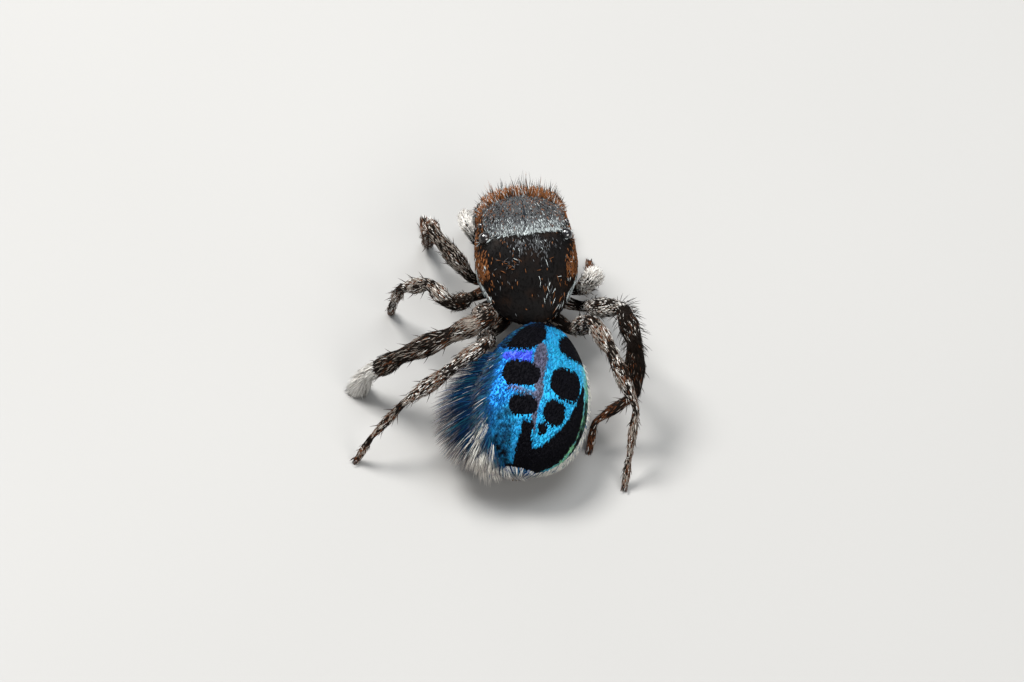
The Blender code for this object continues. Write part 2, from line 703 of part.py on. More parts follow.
def is_clear(made, trees):
    """Whether every point of a tuft is outside all the trees' surfaces, and a gap away from them."""
    for vert in made.data.vertices:
        for tree in trees:
            nearest, normal, _, distance = tree.find_nearest(vert.co)
            inside = (vert.co - nearest).dot(normal) < 0 and distance < 0.15
            if inside or distance < GAP * 0.7:
                return False
    return True


def set_down():
    """Move the spider so that the middle of its box is over the origin, and turn millimetres to metres."""
    corners = np.array([v.co[:] for obj, _, _ in finished for v in obj.data.vertices])
    low, high = corners.min(axis=0), corners.max(axis=0)
    shift = Vector((-(low[0] + high[0]) / 2, -(low[1] + high[1]) / 2, 0.0))
    root = bpy.data.objects.new("peacock_spider_root", None)
    collection.objects.link(root)
    for obj, origin, _ in finished:
        obj.data.shade_smooth()
        obj.data.set_sharp_from_angle(angle=np.radians(50))
        obj.data.transform(Matrix.Scale(MM, 4) @ Matrix.Translation(-origin))
        obj.location = (origin + shift) * MM
        obj.parent = root
    return shift


clear_scene()
collection = bpy.data.collections.new("peacock_spider")
bpy.context.scene.collection.children.link(collection)
finished = []
build_carapace()
build_underside()
build_abdomen()
for leg_side, _ in SIDES:
    for leg_pair in (1, 2, 3, 4):
        build_leg(leg_side, leg_pair)
grow_coats()
set_down()
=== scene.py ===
"""Looks of a male peacock spider at life size: skin, scales, hair, eyes, claws and a plain studio.

Shapes are worked out in millimetres in the drawing frame of the solids, in which the back edge of the
carapace is at x = y = 0 and the floor at z = 0, and are put in metres and in place when a mesh is made.
"""

import bpy
import numpy as np
from mathutils import Matrix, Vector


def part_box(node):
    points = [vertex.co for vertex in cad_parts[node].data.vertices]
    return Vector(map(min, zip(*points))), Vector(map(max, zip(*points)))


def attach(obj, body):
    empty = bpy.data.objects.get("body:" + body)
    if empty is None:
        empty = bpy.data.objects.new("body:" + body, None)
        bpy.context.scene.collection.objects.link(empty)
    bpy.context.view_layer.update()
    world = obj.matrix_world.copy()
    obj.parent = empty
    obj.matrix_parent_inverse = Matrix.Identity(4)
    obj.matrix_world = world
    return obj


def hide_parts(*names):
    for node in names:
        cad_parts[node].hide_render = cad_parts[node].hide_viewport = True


bl_info = {
    "name": "Peacock Spider",
    "version": (1, 0, 0),
    "blender": (4, 5, 0),
    "location": "View3D > Sidebar > Spider",
    "description": "Dresses the solids of a peacock spider in skin, scales, hair and eyes",
    "category": "Add Mesh",
}

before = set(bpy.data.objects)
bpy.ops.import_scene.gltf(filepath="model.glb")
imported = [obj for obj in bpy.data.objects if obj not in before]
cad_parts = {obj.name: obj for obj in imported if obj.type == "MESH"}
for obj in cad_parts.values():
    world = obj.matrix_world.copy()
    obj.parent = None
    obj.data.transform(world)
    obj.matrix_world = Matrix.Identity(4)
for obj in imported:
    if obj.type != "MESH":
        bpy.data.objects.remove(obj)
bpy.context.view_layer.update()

MM = 0.001
STERNUM_CENTRE = np.array((0.0, 0.95, 0.635))
STERNUM_HALF = np.array((0.34, 0.62, 0.150))
SHIFT = np.sum(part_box("sternum"), axis=0) / 2 / MM - STERNUM_CENTRE
SHIFT[2] = 0.0

# Head and thorax: forward place, half width, height of the middle line.
CARAPACE_FACE = 2.30
CARAPACE_EDGE = 0.84
CARAPACE_STATIONS = (
    (0.00, 0.34, 1.00), (0.30, 0.58, 1.20), (0.60, 0.76, 1.45), (0.95, 0.85, 1.66),
    (1.25, 0.84, 1.76), (1.65, 0.80, 1.76), (2.00, 0.76, 1.72), (2.30, 0.72, 1.65),
)
# Shares of its length over which it closes at the back and at the face, how high it is widest, the powers
# of its section (in the middle, and their rise to the back and to the face) and how far it is undercut.
BACK_TAPER = 0.10
FACE_TAPER = 0.055
WIDEST_AT = 0.36
SECTION_POWERS = (0.62, 0.26, 0.20)
UNDER_POWER = 0.6
UNDERCUT = 0.15

# Eyes of the right side: centre and radius.
EYES = {
    "front_middle": (0.250, 2.235, 1.24, 0.215),
    "front_side": (0.610, 2.120, 1.38, 0.125),
    "rear_middle": (0.705, 1.620, 1.56, 0.055),
    "rear_side": (0.670, 1.310, 1.61, 0.110),
}

# Abdomen: centre, half sizes, its turns in degrees, the powers that square its section off across and
# up, and how low its belly hangs as a share of its half height.
ABDOMEN_CENTRE = np.array((-0.15, -1.50, 0.90))
ABDOMEN_HALF = np.array((0.94, 1.38, 0.60))
ABDOMEN_TURNS = (("Z", -15.0), ("X", 12.0), ("Y", 8.0))
ABDOMEN_POWERS = (0.88, 0.86)
BELLY_SHARE = 0.84

# Black spots of the abdomen: place across and along its back, and half sizes, in millimetres over its skin.
SPOTS = (
    (-0.46, 1.08, 0.46, 0.42), (0.66, 0.95, 0.44, 0.26), (-0.29, 0.18, 0.30, 0.24), (0.48, 0.165, 0.31, 0.29),
    (-0.16, -0.39, 0.205, 0.185), (0.34, -0.405, 0.19, 0.22), (-0.03, -0.74, 0.080, 0.095),
    (0.19, -0.715, 0.080, 0.095),
)

# Strips on its back, as (across, along, half width) from end to end: the black edge on the right and
# rear, the grey-violet streak beside the middle line, the lavender line and the violet band.
BLACK_EDGE = (
    (0.90, 0.30, 0.02), (0.89, 0.02, 0.09), (0.86, -0.30, 0.17), (0.79, -0.62, 0.22), (0.62, -0.92, 0.25),
    (0.36, -1.16, 0.20), (0.02, -1.24, 0.16), (-0.03, -0.88, 0.075),
)
GREY_STREAK = (
    (-0.02, 0.80, 0.05), (-0.02, 0.57, 0.10), (-0.01, 0.17, 0.065), (0.04, -0.12, 0.05), (0.03, -0.53, 0.03),
    (0.06, -0.78, 0.02),
)
LAVENDER_LINE = ((-0.42, -0.10, 0.04), (-0.02, -0.17, 0.05))
VIOLET_BAND = ((-0.62, 0.50, 0.07), (-0.14, 0.54, 0.11))

# Middle line of each leg through its six segments, from the solids.
LEG_JOINTS = {
    ("left", 1): (
        (-0.320, 1.400, 0.620), (-0.810, 1.220, 0.590), (-1.473, 1.701, 1.354), (-1.473, 2.098, 1.066),
        (-1.465, 2.187, 0.432), (-1.465, 2.582, 0.050), (-1.465, 2.990, 0.091),
    ),
    ("left", 2): (
        (-0.410, 1.080, 0.620), (-0.910, 0.900, 0.590), (-1.324, 0.237, 1.246), (-1.627, 0.654, 1.318),
        (-2.061, 0.885, 0.974), (-2.171, 1.026, 0.422), (-2.190, 1.131, -0.005),
    ),
    ("left", 3): (
        (-0.410, 0.760, 0.620), (-0.880, 0.590, 0.590), (-0.696, -0.274, 1.571), (-1.364, -0.441, 1.360),
        (-2.189, -0.631, 1.118), (-2.721, -0.498, 0.509), (-2.907, -0.448, 0.004),
    ),
    ("left", 4): (
        (-0.320, 0.450, 0.620), (-0.680, 0.090, 0.610), (-0.885, -0.733, 1.401), (-1.420, -1.054, 1.257),
        (-2.264, -1.542, 1.032), (-2.807, -1.795, 0.473), (-3.050, -1.914, 0.006),
    ),
    ("right", 1): (
        (0.320, 1.400, 0.620), (0.700, 1.260, 0.560), (0.642, 2.368, 0.404), (0.659, 2.856, 0.438),
        (0.186, 3.175, 0.148), (-0.316, 2.972, 0.052), (-0.550, 2.638, 0.088),
    ),
    ("right", 2): (
        (0.410, 1.080, 0.620), (0.910, 0.900, 0.590), (1.033, 0.470, 1.507), (1.091, 0.799, 1.108),
        (1.138, 1.132, 0.611), (1.164, 1.504, 0.167), (1.194, 1.926, 0.046),
    ),
    ("right", 3): (
        (0.410, 0.760, 0.620), (0.880, 0.590, 0.590), (1.447, -0.191, 1.490), (1.560, -0.902, 1.515),
        (1.549, -1.513, 0.882), (0.870, -1.721, 0.472), (0.776, -1.979, 0.008),
    ),
    ("right", 4): (
        (0.320, 0.450, 0.620), (0.680, 0.090, 0.610), (0.917, -0.496, 1.583), (1.164, -1.079, 1.494),
        (1.509, -1.892, 1.024), (1.370, -2.412, 0.405), (1.267, -2.773, 0.017),
    ),
}
LEG_RADII = {
    1: (0.126, 0.158, 0.150, 0.142, 0.112, 0.090),
    2: (0.126, 0.160, 0.150, 0.142, 0.108, 0.085),
    3: (0.126, 0.185, 0.175, 0.185, 0.165, 0.120),
    4: (0.135, 0.175, 0.160, 0.145, 0.090, 0.075),
}
SLIM_RADII = {("right", 3): (0.126, 0.180, 0.165, 0.165, 0.105, 0.080)}
BEND_RADIUS = 0.24

# Paths: step along a bend, least turn that is rounded, share of a run that a bend may take, length of an
# end's dome in radii, and how slim a leg is at its joints and at its toe.
PATH_STEP = 0.03
LEAST_TURN = 0.02
BEND_ROOM = 0.46
DOME_LENGTH = 0.55
JOINT_PINCH = 0.80
TOE_PINCH = 0.88

# Hair colours of each leg, one row for each segment from coxa to tarsus: share of hairs that are
# pale grey, warm brown and white. The rest are brown-black.
LEG_TONES = {
    ("left", 1): (
        (0.10, 0.50, 0.00), (0.40, 0.06, 0.04), (0.18, 0.34, 0.20),
        (0.20, 0.30, 0.10), (0.20, 0.30, 0.10), (0.10, 0.60, 0.10),
    ),
    ("left", 2): (
        (0.10, 0.40, 0.00), (0.14, 0.12, 0.03), (0.38, 0.12, 0.24),
        (0.38, 0.10, 0.26), (0.30, 0.15, 0.20), (0.25, 0.30, 0.35),
    ),
    ("left", 3): (
        (0.10, 0.10, 0.00), (0.46, 0.20, 0.08), (0.54, 0.22, 0.12),
        (0.26, 0.16, 0.01), (0.14, 0.12, 0.00), (0.03, 0.00, 0.97),
    ),
    ("left", 4): (
        (0.20, 0.10, 0.00), (0.40, 0.22, 0.20), (0.36, 0.20, 0.34),
        (0.40, 0.22, 0.24), (0.36, 0.34, 0.14), (0.36, 0.40, 0.14),
    ),
    ("right", 1): (
        (0.10, 0.60, 0.00), (0.30, 0.20, 0.05), (0.20, 0.30, 0.10),
        (0.20, 0.30, 0.10), (0.20, 0.40, 0.10), (0.10, 0.70, 0.10),
    ),
    ("right", 2): (
        (0.10, 0.20, 0.20), (0.20, 0.10, 0.50), (0.20, 0.10, 0.65),
        (0.10, 0.65, 0.05), (0.10, 0.70, 0.05), (0.10, 0.70, 0.10),
    ),
    ("right", 3): (
        (0.10, 0.10, 0.10), (0.30, 0.04, 0.40), (0.04, 0.03, 0.03),
        (0.03, 0.05, 0.00), (0.10, 0.60, 0.05), (0.10, 0.60, 0.10),
    ),
    ("right", 4): (
        (0.20, 0.10, 0.00), (0.36, 0.14, 0.26), (0.38, 0.24, 0.30),
        (0.44, 0.24, 0.20), (0.46, 0.24, 0.16), (0.38, 0.34, 0.10),
    ),
}

# Bristles of the legs: segment and share of its length, and their turns round the leg.
BRISTLE_ROWS = ((1, 0.45), (1, 0.68), (3, 0.2), (3, 0.55), (3, 0.85), (4, 0.25), (4, 0.7))
BRISTLE_TURNS = (0.06, 0.28, 0.52, 0.78)

# Jaws, fangs and palps, as paths and radii.
CHELICERA_PATH = ((0.185, 2.13, 0.76), (0.190, 2.21, 0.60), (0.175, 2.22, 0.40))
CHELICERA_RADII = (0.150, 0.155, 0.120)
FANG_PATH = ((0.160, 2.20, 0.36), (0.150, 2.15, 0.27), (0.060, 2.02, 0.235))
FANG_RADII = (0.055, 0.040, 0.012)
PALP_PATH = {
    "left": (
        (0.38, 1.84, 0.60), (0.68, 1.98, 0.66), (0.87, 2.14, 0.95), (0.84, 2.58, 0.62), (0.64, 2.78, 0.30),
    ),
    "right": (
        (0.38, 1.84, 0.62), (0.46, 2.06, 0.66), (0.44, 2.44, 0.82), (0.40, 2.66, 0.58), (0.35, 2.72, 0.36),
    ),
}
PALP_RADII = (0.085, 0.090, 0.100, 0.105, 0.120)

# Spinnerets: start of each from their middle, and the radii that they share.
SPINNERET_STARTS = (
    (-0.045, 0.02, 0.03), (0.045, 0.02, 0.03), (-0.042, 0.03, -0.03), (0.042, 0.03, -0.03), (0.0, 0.0, 0.0),
)
SPINNERET_RADII = (0.036, 0.034, 0.018)

# Hairs: shares of their length at which they have a ring, how full each ring is, and half thickness.
HAIR_STOPS = (0.25, 0.65)
HAIR_FULL = (1.0, 0.7)
FLAT_FULL = (1.0, 0.8)
LONG_STOPS = (0.15, 0.45, 0.78)
LONG_FULL = (1.0, 0.9, 0.55)
HAIR_THICKNESS = 0.005

# Scales of the abdomen: how many lie in each layer, and their half width as a share of their length.
SCALE_COUNT = 12000
SCALE_WIDTH = 0.17

# Ranges of u: all of a surface, and the part of the carapace over the face.
WHOLE = (0.0, 1.0)
FACE_RANGE = (0.72, 1.0)

# Each side's name, and the sign of x there.
EVERY_SIDE = (("left", -1), ("right", 1))

# A coat's unwrap: the margin round it, and the square that one hair covers.
UV_MARGIN = 0.004
UV_PATCH = 0.003

# Camera: azimuth, elevation and roll in degrees, pixels per millimetre, and the pixel of the aim point.
CAMERA_AZIMUTH = 9.0
CAMERA_ELEVATION = 52.0
CAMERA_ROLL = -4.0
CAMERA_SCALE = 61.0
CAMERA_AIM = np.array((0.0, 0.0, 0.95))
CAMERA_AIM_PIXEL = (532.0, 324.0)
CAMERA_DISTANCE = 150.0
IMAGE_SIZE = (1024, 682)
SENSOR_WIDTH = 36.0
FLOOR_REACH = 400.0

# Lamps: name, place and size in millimetres, watts and colour.
LAMPS = (
    ("key_lamp", (-45, 55, 95), (55, 40), 0.24, (1.0, 0.98, 0.95)),
    ("top_lamp", (25, 25, 120), (80, 80), 0.09, (0.95, 0.98, 1.0)),
    ("back_lamp", (40, -70, 60), (60, 40), 0.06, (1.0, 0.97, 0.93)),
)
SURROUND_COLOUR = (0.93, 0.96, 1.0, 1.0)
SURROUND_STRENGTH = 0.26


# Numbers and surfaces

def unit(vectors):
    """Vectors over their lengths."""
    return vectors / np.maximum(np.linalg.norm(vectors, axis=-1, keepdims=True), 1e-12)


def ease(low, high, value):
    """0 below low and 1 above high, rising as 3s^2 - 2s^3 between them."""
    share = np.clip((value - low) / (high - low), 0, 1)
    return share * share * (3 - 2 * share)


def bell(middle, width, value):
    """1 at the middle, falling off as exp(-((value - middle) / width)^2)."""
    return np.exp(-(((value - middle) / width) ** 2))


def smooth_key(at, stations, values):
    """Value at each place in `at`: a cubic from station to station with the slopes of their neighbours."""
    stations = np.asarray(stations, float)
    values = np.asarray(values, float)
    index = np.clip(np.searchsorted(stations, at, side="right") - 1, 0, len(stations) - 2)
    step = stations[index + 1] - stations[index]
    share = np.clip((at - stations[index]) / step, 0, 1)
    slopes = np.gradient(values, stations)
    rise = (1 + 2 * share) * (1 - share) ** 2 * values[index]
    rise = rise + share**2 * (3 - 2 * share) * values[index + 1]
    rise = rise + share * (1 - share) ** 2 * step * slopes[index]
    return rise + share**2 * (share - 1) * step * slopes[index + 1]


def circle(v):
    """Cosine and sine of the angle 2 pi v."""
    return np.cos(2 * np.pi * v), np.sin(2 * np.pi * v)


def boxy(value, power):
    """|value|^power with the value's sign, which squares a round section off."""
    return np.sign(value) * np.abs(value) ** power


def dome(share):
    """A quarter circle from 0 to 1: sqrt(1 - (1 - share)^2)."""
    return np.sqrt(1 - (1 - np.clip(share, 0, 1)) ** 2)


def turning(axis, degrees):
    """The matrix of a turn about one axis."""
    return np.array(Matrix.Rotation(np.radians(degrees), 3, axis))


ABDOMEN_TURN = turning(*ABDOMEN_TURNS[0]) @ turning(*ABDOMEN_TURNS[1]) @ turning(*ABDOMEN_TURNS[2])


def carapace(u, v):
    """Rounded box sections: x = half width * |cos|^q, z = middle line + rise * |sin|^q, at the angle 2 pi v
    from the right side, set along y = face * (1 - cos(pi u)) / 2 and domed shut at the face and the back."""
    u, v = np.broadcast_arrays(u, v)
    y = CARAPACE_FACE * (0.5 - 0.5 * np.cos(np.pi * u))
    share = y / CARAPACE_FACE
    places, widths, tops = np.array(CARAPACE_STATIONS).T
    half_width = smooth_key(y, places, widths)
    top = smooth_key(y, places, tops)
    close = dome(share / BACK_TAPER) * dome((1 - share) / FACE_TAPER)
    middle = CARAPACE_EDGE + WIDEST_AT * (top - CARAPACE_EDGE)
    power, to_back, to_face = SECTION_POWERS
    power = power + to_back * np.clip(1.0 - y, 0, 1) + to_face * np.clip((y - 1.7) / 0.6, 0, 1)
    cos, sin = circle(v)
    rise = np.abs(sin) ** power
    over = middle + (top - middle) * rise * close
    under = middle - (middle - CARAPACE_EDGE) * rise**UNDER_POWER * close
    z = np.where(sin >= 0, over, under)
    half_width = half_width * (1 - UNDERCUT * np.clip(middle - z, 0, None) / (middle - CARAPACE_EDGE))
    return np.stack([half_width * boxy(cos, power) * close, y, z], axis=-1)


def abdomen_girth(along):
    """sqrt(1 - |along|^2.3), fuller towards the rear by 1 - 0.16 along - 0.06 along^2."""
    return np.clip(1 - np.abs(along) ** 2.3, 0, 1) ** 0.5 * (1 - 0.16 * along - 0.06 * along**2)


def abdomen(u, v):
    """An egg: x = half width * girth * cos, z = half height * girth * sin at the angle 2 pi v from its right
    side, y = half length * along, along = -cos(pi u), turned about its centre."""
    u, v = np.broadcast_arrays(u, v)
    along = -np.cos(np.pi * u)
    girth = abdomen_girth(along)
    cos, sin = circle(v)
    x = ABDOMEN_HALF[0] * girth * boxy(cos, ABDOMEN_POWERS[0])
    z = ABDOMEN_HALF[2] * girth * np.where(sin > 0, np.abs(sin) ** ABDOMEN_POWERS[1], BELLY_SHARE * sin)
    local = np.stack([x, ABDOMEN_HALF[1] * along, z], axis=-1)
    return ABDOMEN_CENTRE + local @ ABDOMEN_TURN.T


def abdomen_map(u, v):
    """Place across and along the abdomen's skin, in millimetres, from its highest line: across is the angle
    from that line times the girth there, along is the half length times -cos(pi u)."""
    along = -np.cos(np.pi * u)
    across = np.pi * (1 - 2 * np.mod(v + 0.25, 1.0)) * ABDOMEN_HALF[0] * abdomen_girth(along)
    return across, ABDOMEN_HALF[1] * along


def strip_reach(across, along, strip):
    """How far places are from a strip, in shares of its half width: the least over its runs of
    |place - nearest point of the run| / half width there."""
    least = np.full(np.shape(across), np.inf)
    for (x, y, width), (next_x, next_y, next_width) in zip(strip, strip[1:]):
        run_x, run_y = next_x - x, next_y - y
        share = np.clip(((across - x) * run_x + (along - y) * run_y) / (run_x**2 + run_y**2), 0, 1)
        away = np.hypot(across - x - share * run_x, along - y - share * run_y)
        least = np.minimum(least, away / (width + share * (next_width - width)))
    return least


def mottle(here, grain, seed):
    """0 to 1 in blotches about `grain` millimetres across: the mean of eight sine waves that run in drawn
    directions, stretched about its middle."""
    draw = np.random.default_rng(seed)
    waves = unit(draw.normal(0, 1, (8, 3))) * 2 * np.pi / (grain * draw.uniform(1.4, 2.8, (8, 1)))
    heights = np.sin(here @ waves.T + draw.uniform(0, 2 * np.pi, 8)).mean(axis=-1)
    return ease(0.0, 1.0, 0.5 + 1.2 * heights)


def rounded_path(points, radius):
    """Straight runs joined by circular arcs, and the length along it of each given point."""
    points = np.asarray(points, float)
    made, corners = [points[0]], [0]
    for before, corner, after in zip(points, points[1:], points[2:]):
        into, out = unit(corner - before), unit(after - corner)
        turn = np.arccos(np.clip(into @ out, -1.0, 1.0))
        if turn < LEAST_TURN:
            made.append(corner)
            corners.append(len(made) - 1)
            continue
        room = BEND_ROOM * min(np.linalg.norm(corner - before), np.linalg.norm(after - corner))
        cut = min(radius * np.tan(turn / 2), room)
        bend = cut / np.tan(turn / 2)
        across = unit(out - into * (into @ out))
        count = max(4, 2 * int(np.ceil(turn * bend / PATH_STEP / 2)))
        angles = turn * np.arange(count + 1)[:, None] / count
        start = corner - into * cut
        made.extend(start + into * bend * np.sin(angles) + across * bend * (1 - np.cos(angles)))
        corners.append(len(made) - 1 - count // 2)
    made.append(points[-1])
    corners.append(len(made) - 1)
    path = np.array(made)
    lengths = np.concatenate([[0.0], np.cumsum(np.linalg.norm(np.diff(path, axis=0), axis=1))])
    return path, lengths, lengths[corners]


def limb(points, keys_radii, bend=BEND_RADIUS):
    """A tube along a rounded path: place = centre(s) + r(s) * (side * cos + up * sin) at the angle 2 pi v,
    s = u * length, with r eased from key to key and both ends domed. Gives the surface, the places of the
    path's points as shares of its length, and the length."""
    path, lengths, keys = rounded_path(points, bend)
    places, values = keys_radii(keys)
    tangent = unit(np.gradient(path, axis=0))
    side = unit(np.cross(tangent[0], (0.13, 0.21, 1.0)))
    sides = []
    for direction in tangent:
        side = unit(side - direction * (side @ direction))
        sides.append(side)
    sides = np.array(sides)
    ups = np.cross(sides, tangent)
    total = lengths[-1]

    def between(s, rows):
        return np.stack([np.interp(s, lengths, rows[:, k]) for k in range(3)], axis=-1)

    def shape(u, v):
        u, v = np.broadcast_arrays(u, v)
        s = np.clip(u, 0, 1) * total
        radius = smooth_key(s, places, values)
        radius = radius * dome(np.minimum(s, total - s) / (DOME_LENGTH * radius))
        cos, sin = (value[..., None] for value in circle(v))
        round_it = unit(between(s, sides)) * cos + unit(between(s, ups)) * sin
        return between(s, path) + radius[..., None] * round_it

    return shape, keys / total, total


def even_keys(radii):
    """Radii spread over the given points of a path."""
    return lambda keys: (keys, np.interp(np.linspace(0, 1, len(keys)), np.linspace(0, 1, len(radii)), radii))


def leg_keys(radii):
    """Radii that are full in the middle of a segment and pinched at its joints."""

    def keys_radii(keys):
        places, values = [keys[0]], [radii[0]]
        for k, radius in enumerate(radii):
            last = k + 1 == len(radii)
            pinch = TOE_PINCH * radius if last else JOINT_PINCH * min(radius, radii[k + 1])
            places += [(keys[k] + keys[k + 1]) / 2, keys[k + 1]]
            values += [radius, pinch]
        return np.array(places), np.array(values)

    return keys_radii


def frames(shape, u, v):
    """Place, outward normal, the way u grows and the area for each step, from central differences."""
    small = 1e-3
    here = shape(u, v)
    along = shape(np.clip(u + small, 0, 1), v) - shape(np.clip(u - small, 0, 1), v)
    around = shape(u, v + small) - shape(u, v - small)
    area = np.cross(along, around)
    return here, unit(area), unit(along), np.linalg.norm(area, axis=-1)


def ball_surface(centre, half):
    """A ball or egg: centre + half * (cos p cos q, sin p, cos p sin q), p = pi (u - 1/2), q = -2 pi v."""

    def shape(u, v):
        u, v = np.broadcast_arrays(u, v)
        polar = np.pi * (u - 0.5)
        cos, sin = circle(-v)
        return centre + half * np.stack([np.cos(polar) * cos, np.sin(polar), np.cos(polar) * sin], axis=-1)

    return shape


# Meshes

def mesh_object(name, points, faces, attributes, uv=None):
    """A mesh from whole arrays: points in millimetres, faces as equal rows of corners, one value of each
    attribute a point, and a UV pair for each corner where given."""
    mesh = bpy.data.meshes.new(name)
    points = np.asarray(points, np.float64)
    points[:, 2] = np.maximum(points[:, 2], 0.0)
    corners, count = faces.shape[1], len(faces)
    mesh.vertices.add(len(points))
    mesh.vertices.foreach_set("co", ((points + SHIFT) * MM).astype(np.float32).ravel())
    mesh.loops.add(count * corners)
    mesh.loops.foreach_set("vertex_index", faces.astype(np.int32).ravel())
    mesh.polygons.add(count)
    mesh.polygons.foreach_set("loop_start", np.arange(0, count * corners, corners, dtype=np.int32))
    mesh.polygons.foreach_set("use_smooth", np.ones(count, dtype=bool))
    for key, values in attributes.items():
        layer = mesh.attributes.new(key, "FLOAT_VECTOR", "POINT")
        layer.data.foreach_set("vector", np.asarray(values, np.float32).ravel())
    if uv is not None:
        layer = mesh.uv_layers.new(name="OFBake")
        layer.data.foreach_set("uv", uv.astype(np.float32).ravel())
    mesh.update(calc_edges=True)
    mesh.validate()
    obj = bpy.data.objects.new(name, mesh)
    bpy.context.scene.collection.objects.link(obj)
    return obj


def no_marks(u, v, points):
    """The marks of a plain skin."""
    return np.zeros((len(u), 3))


def skin_arrays(shape, rows, columns, depth, marking=no_marks):
    """A closed skin on a grid of u and v, sunk by the coat's depth, with its markings. A third of the rows'
    spacing follows a cosine, which crowds them at the poles."""
    even = np.linspace(0, 1, rows + 1)[1:-1, None]
    u = 0.35 * (0.5 - 0.5 * np.cos(np.pi * even)) + 0.65 * even
    v = np.arange(columns)[None] / columns
    u, v = (grid.reshape(-1) for grid in np.broadcast_arrays(u, v))
    here, normal, _, _ = frames(shape, u, v)
    body = here - normal * depth
    poles = np.stack([shape(np.array(end), np.array(0.0)) for end in WHOLE])
    u, v = np.append(u, WHOLE), np.append(v, (0.0, 0.0))
    points = np.concatenate([body, poles])
    index = np.arange((rows - 1) * columns).reshape(rows - 1, columns)
    after = np.roll(index, -1, axis=1)
    quads = np.stack([index[:-1], index[1:], after[1:], after[:-1]], axis=-1).reshape(-1, 4)
    first = np.stack([np.full(columns, len(body)), index[0], after[0]], axis=-1)
    last = np.stack([np.full(columns, len(body) + 1), after[-1], index[-1]], axis=-1)
    faces = np.concatenate([quads[:, [0, 1, 2]], quads[:, [0, 2, 3]], first, last])
    strand = np.tile((0.0, 0.5, 0.0), (len(u), 1))
    return points, faces, marking(u, v, points), strand


def tuft_pattern(stops, sides):
    """Faces and UV corners of one closed tuft: a root point, a ring of `sides` points at each stop, a tip."""
    rings = len(stops)
    tip = 1 + rings * sides
    shares = [0.0, *stops, 1.0]
    faces, corners = [], []
    for k in range(sides):
        after, left, right = (k + 1) % sides, k / sides, (k + 1) / sides
        faces.append((0, 1 + after, 1 + k))
        corners.append(((left, 0.0), (right, shares[1]), (left, shares[1])))
        for ring in range(rings - 1):
            low, high = 1 + ring * sides, 1 + (ring + 1) * sides
            base, top = shares[1 + ring], shares[2 + ring]
            faces.append((low + k, low + after, high + after))
            corners.append(((left, base), (right, base), (right, top)))
            faces.append((low + k, high + after, high + k))
            corners.append(((left, base), (right, top), (left, top)))
        low = 1 + (rings - 1) * sides
        faces.append((low + k, low + after, tip))
        corners.append(((left, shares[-2]), (right, shares[-2]), (left, 1.0)))
    return np.array(faces), np.array(corners), np.array(shares)


def tufts(
    draw, root, way, lift, length, width, bend, marks, place,
    kinds=0.0, thickness=HAIR_THICKNESS, stops=HAIR_STOPS, full=HAIR_FULL, sides=3,
):
    """Closed tufts: centre(t) = root + length * (way * t + lift * bend * t^2), with rings of half width
    `width` and half thickness `thickness`, scaled by `full` at each stop."""
    count = len(root)
    faces, corners, shares = tuft_pattern(stops, sides)
    way = unit(way)
    across = unit(np.cross(way, lift))
    over = np.cross(across, way)
    length = np.broadcast_to(length, count)[:, None]
    width = np.broadcast_to(width, count)[:, None, None]
    centres = [root + length * (way * t + lift * bend * t * t) for t in shares]
    angles = 2 * np.pi * np.arange(sides) / sides + np.pi / 2
    cos, sin = np.cos(angles)[:, None], np.sin(angles)[:, None]
    rings = [
        centre[:, None] + size * (across[:, None] * cos * width + over[:, None] * sin * thickness)
        for centre, size in zip(centres[1:-1], full)
    ]
    points = np.concatenate([centres[0][:, None], *rings, centres[-1][:, None]], axis=1)
    each = points.shape[1]
    faces = faces + each * np.arange(count)[:, None, None]
    mark = np.repeat(marks[:, None], each, axis=1)
    strand = np.empty((count, each, 3))
    strand[:, :, 0] = np.concatenate([[0.0], np.repeat(stops, sides), [1.0]])
    strand[:, :, 1] = draw.random(count)[:, None]
    strand[:, :, 2] = np.broadcast_to(kinds, count)[:, None]
    uv = (UV_MARGIN + (1 - 2 * UV_MARGIN) * place)[:, None, None] + (corners - 0.5) * UV_PATCH
    return *(rows.reshape(-1, 3) for rows in (points, faces, mark, strand)), np.clip(uv, 0, 1).reshape(-1, 2)


def sow(shape, count, draw, where, u_range=WHOLE, v_range=WHOLE):
    """About `count` u, v pairs spread evenly over a surface, thinned by where(u, v, place), from at most 60
    rounds of four times as many tries, and the place, normal and way along of each."""
    found_u, found_v, total = [], [], 0
    for _ in range(60):
        u = draw.uniform(*u_range, 4 * count)
        v = draw.uniform(*v_range, 4 * count)
        here, _, _, area = frames(shape, u, v)
        keep = draw.random(len(u)) * np.quantile(area, 0.98) < area
        keep &= draw.random(len(u)) < where(u, v, here)
        found_u.append(u[keep])
        found_v.append(v[keep])
        total += keep.sum()
        if total >= count:
            break
    u, v = np.concatenate(found_u)[:count], np.concatenate(found_v)[:count]
    return u, v, *frames(shape, u, v)[:3]


def place_of(u, v):
    """Where a root lies on the unwrap of its skin: across is v and up is u."""
    return np.stack([np.mod(v, 1.0), np.clip(u, 0, 1)], axis=-1)


def everywhere(u, v, here):
    return np.ones(len(u))


def colour_marks(draw, u, here, tones):
    """One colour for each hair, drawn from its shares of pale, warm and white: `tones` or tones(u, place)."""
    shares = tones(u, here) if callable(tones) else tones
    edges = np.cumsum(np.broadcast_to(shares, (len(u), 3)), axis=1)
    pick = draw.random((len(u), 1))
    chosen = (pick < edges) & (pick >= np.concatenate([np.zeros((len(u), 1)), edges[:, :2]], axis=1))
    return chosen * draw.uniform(0.75, 1.0, (len(u), 1))


# Shaders

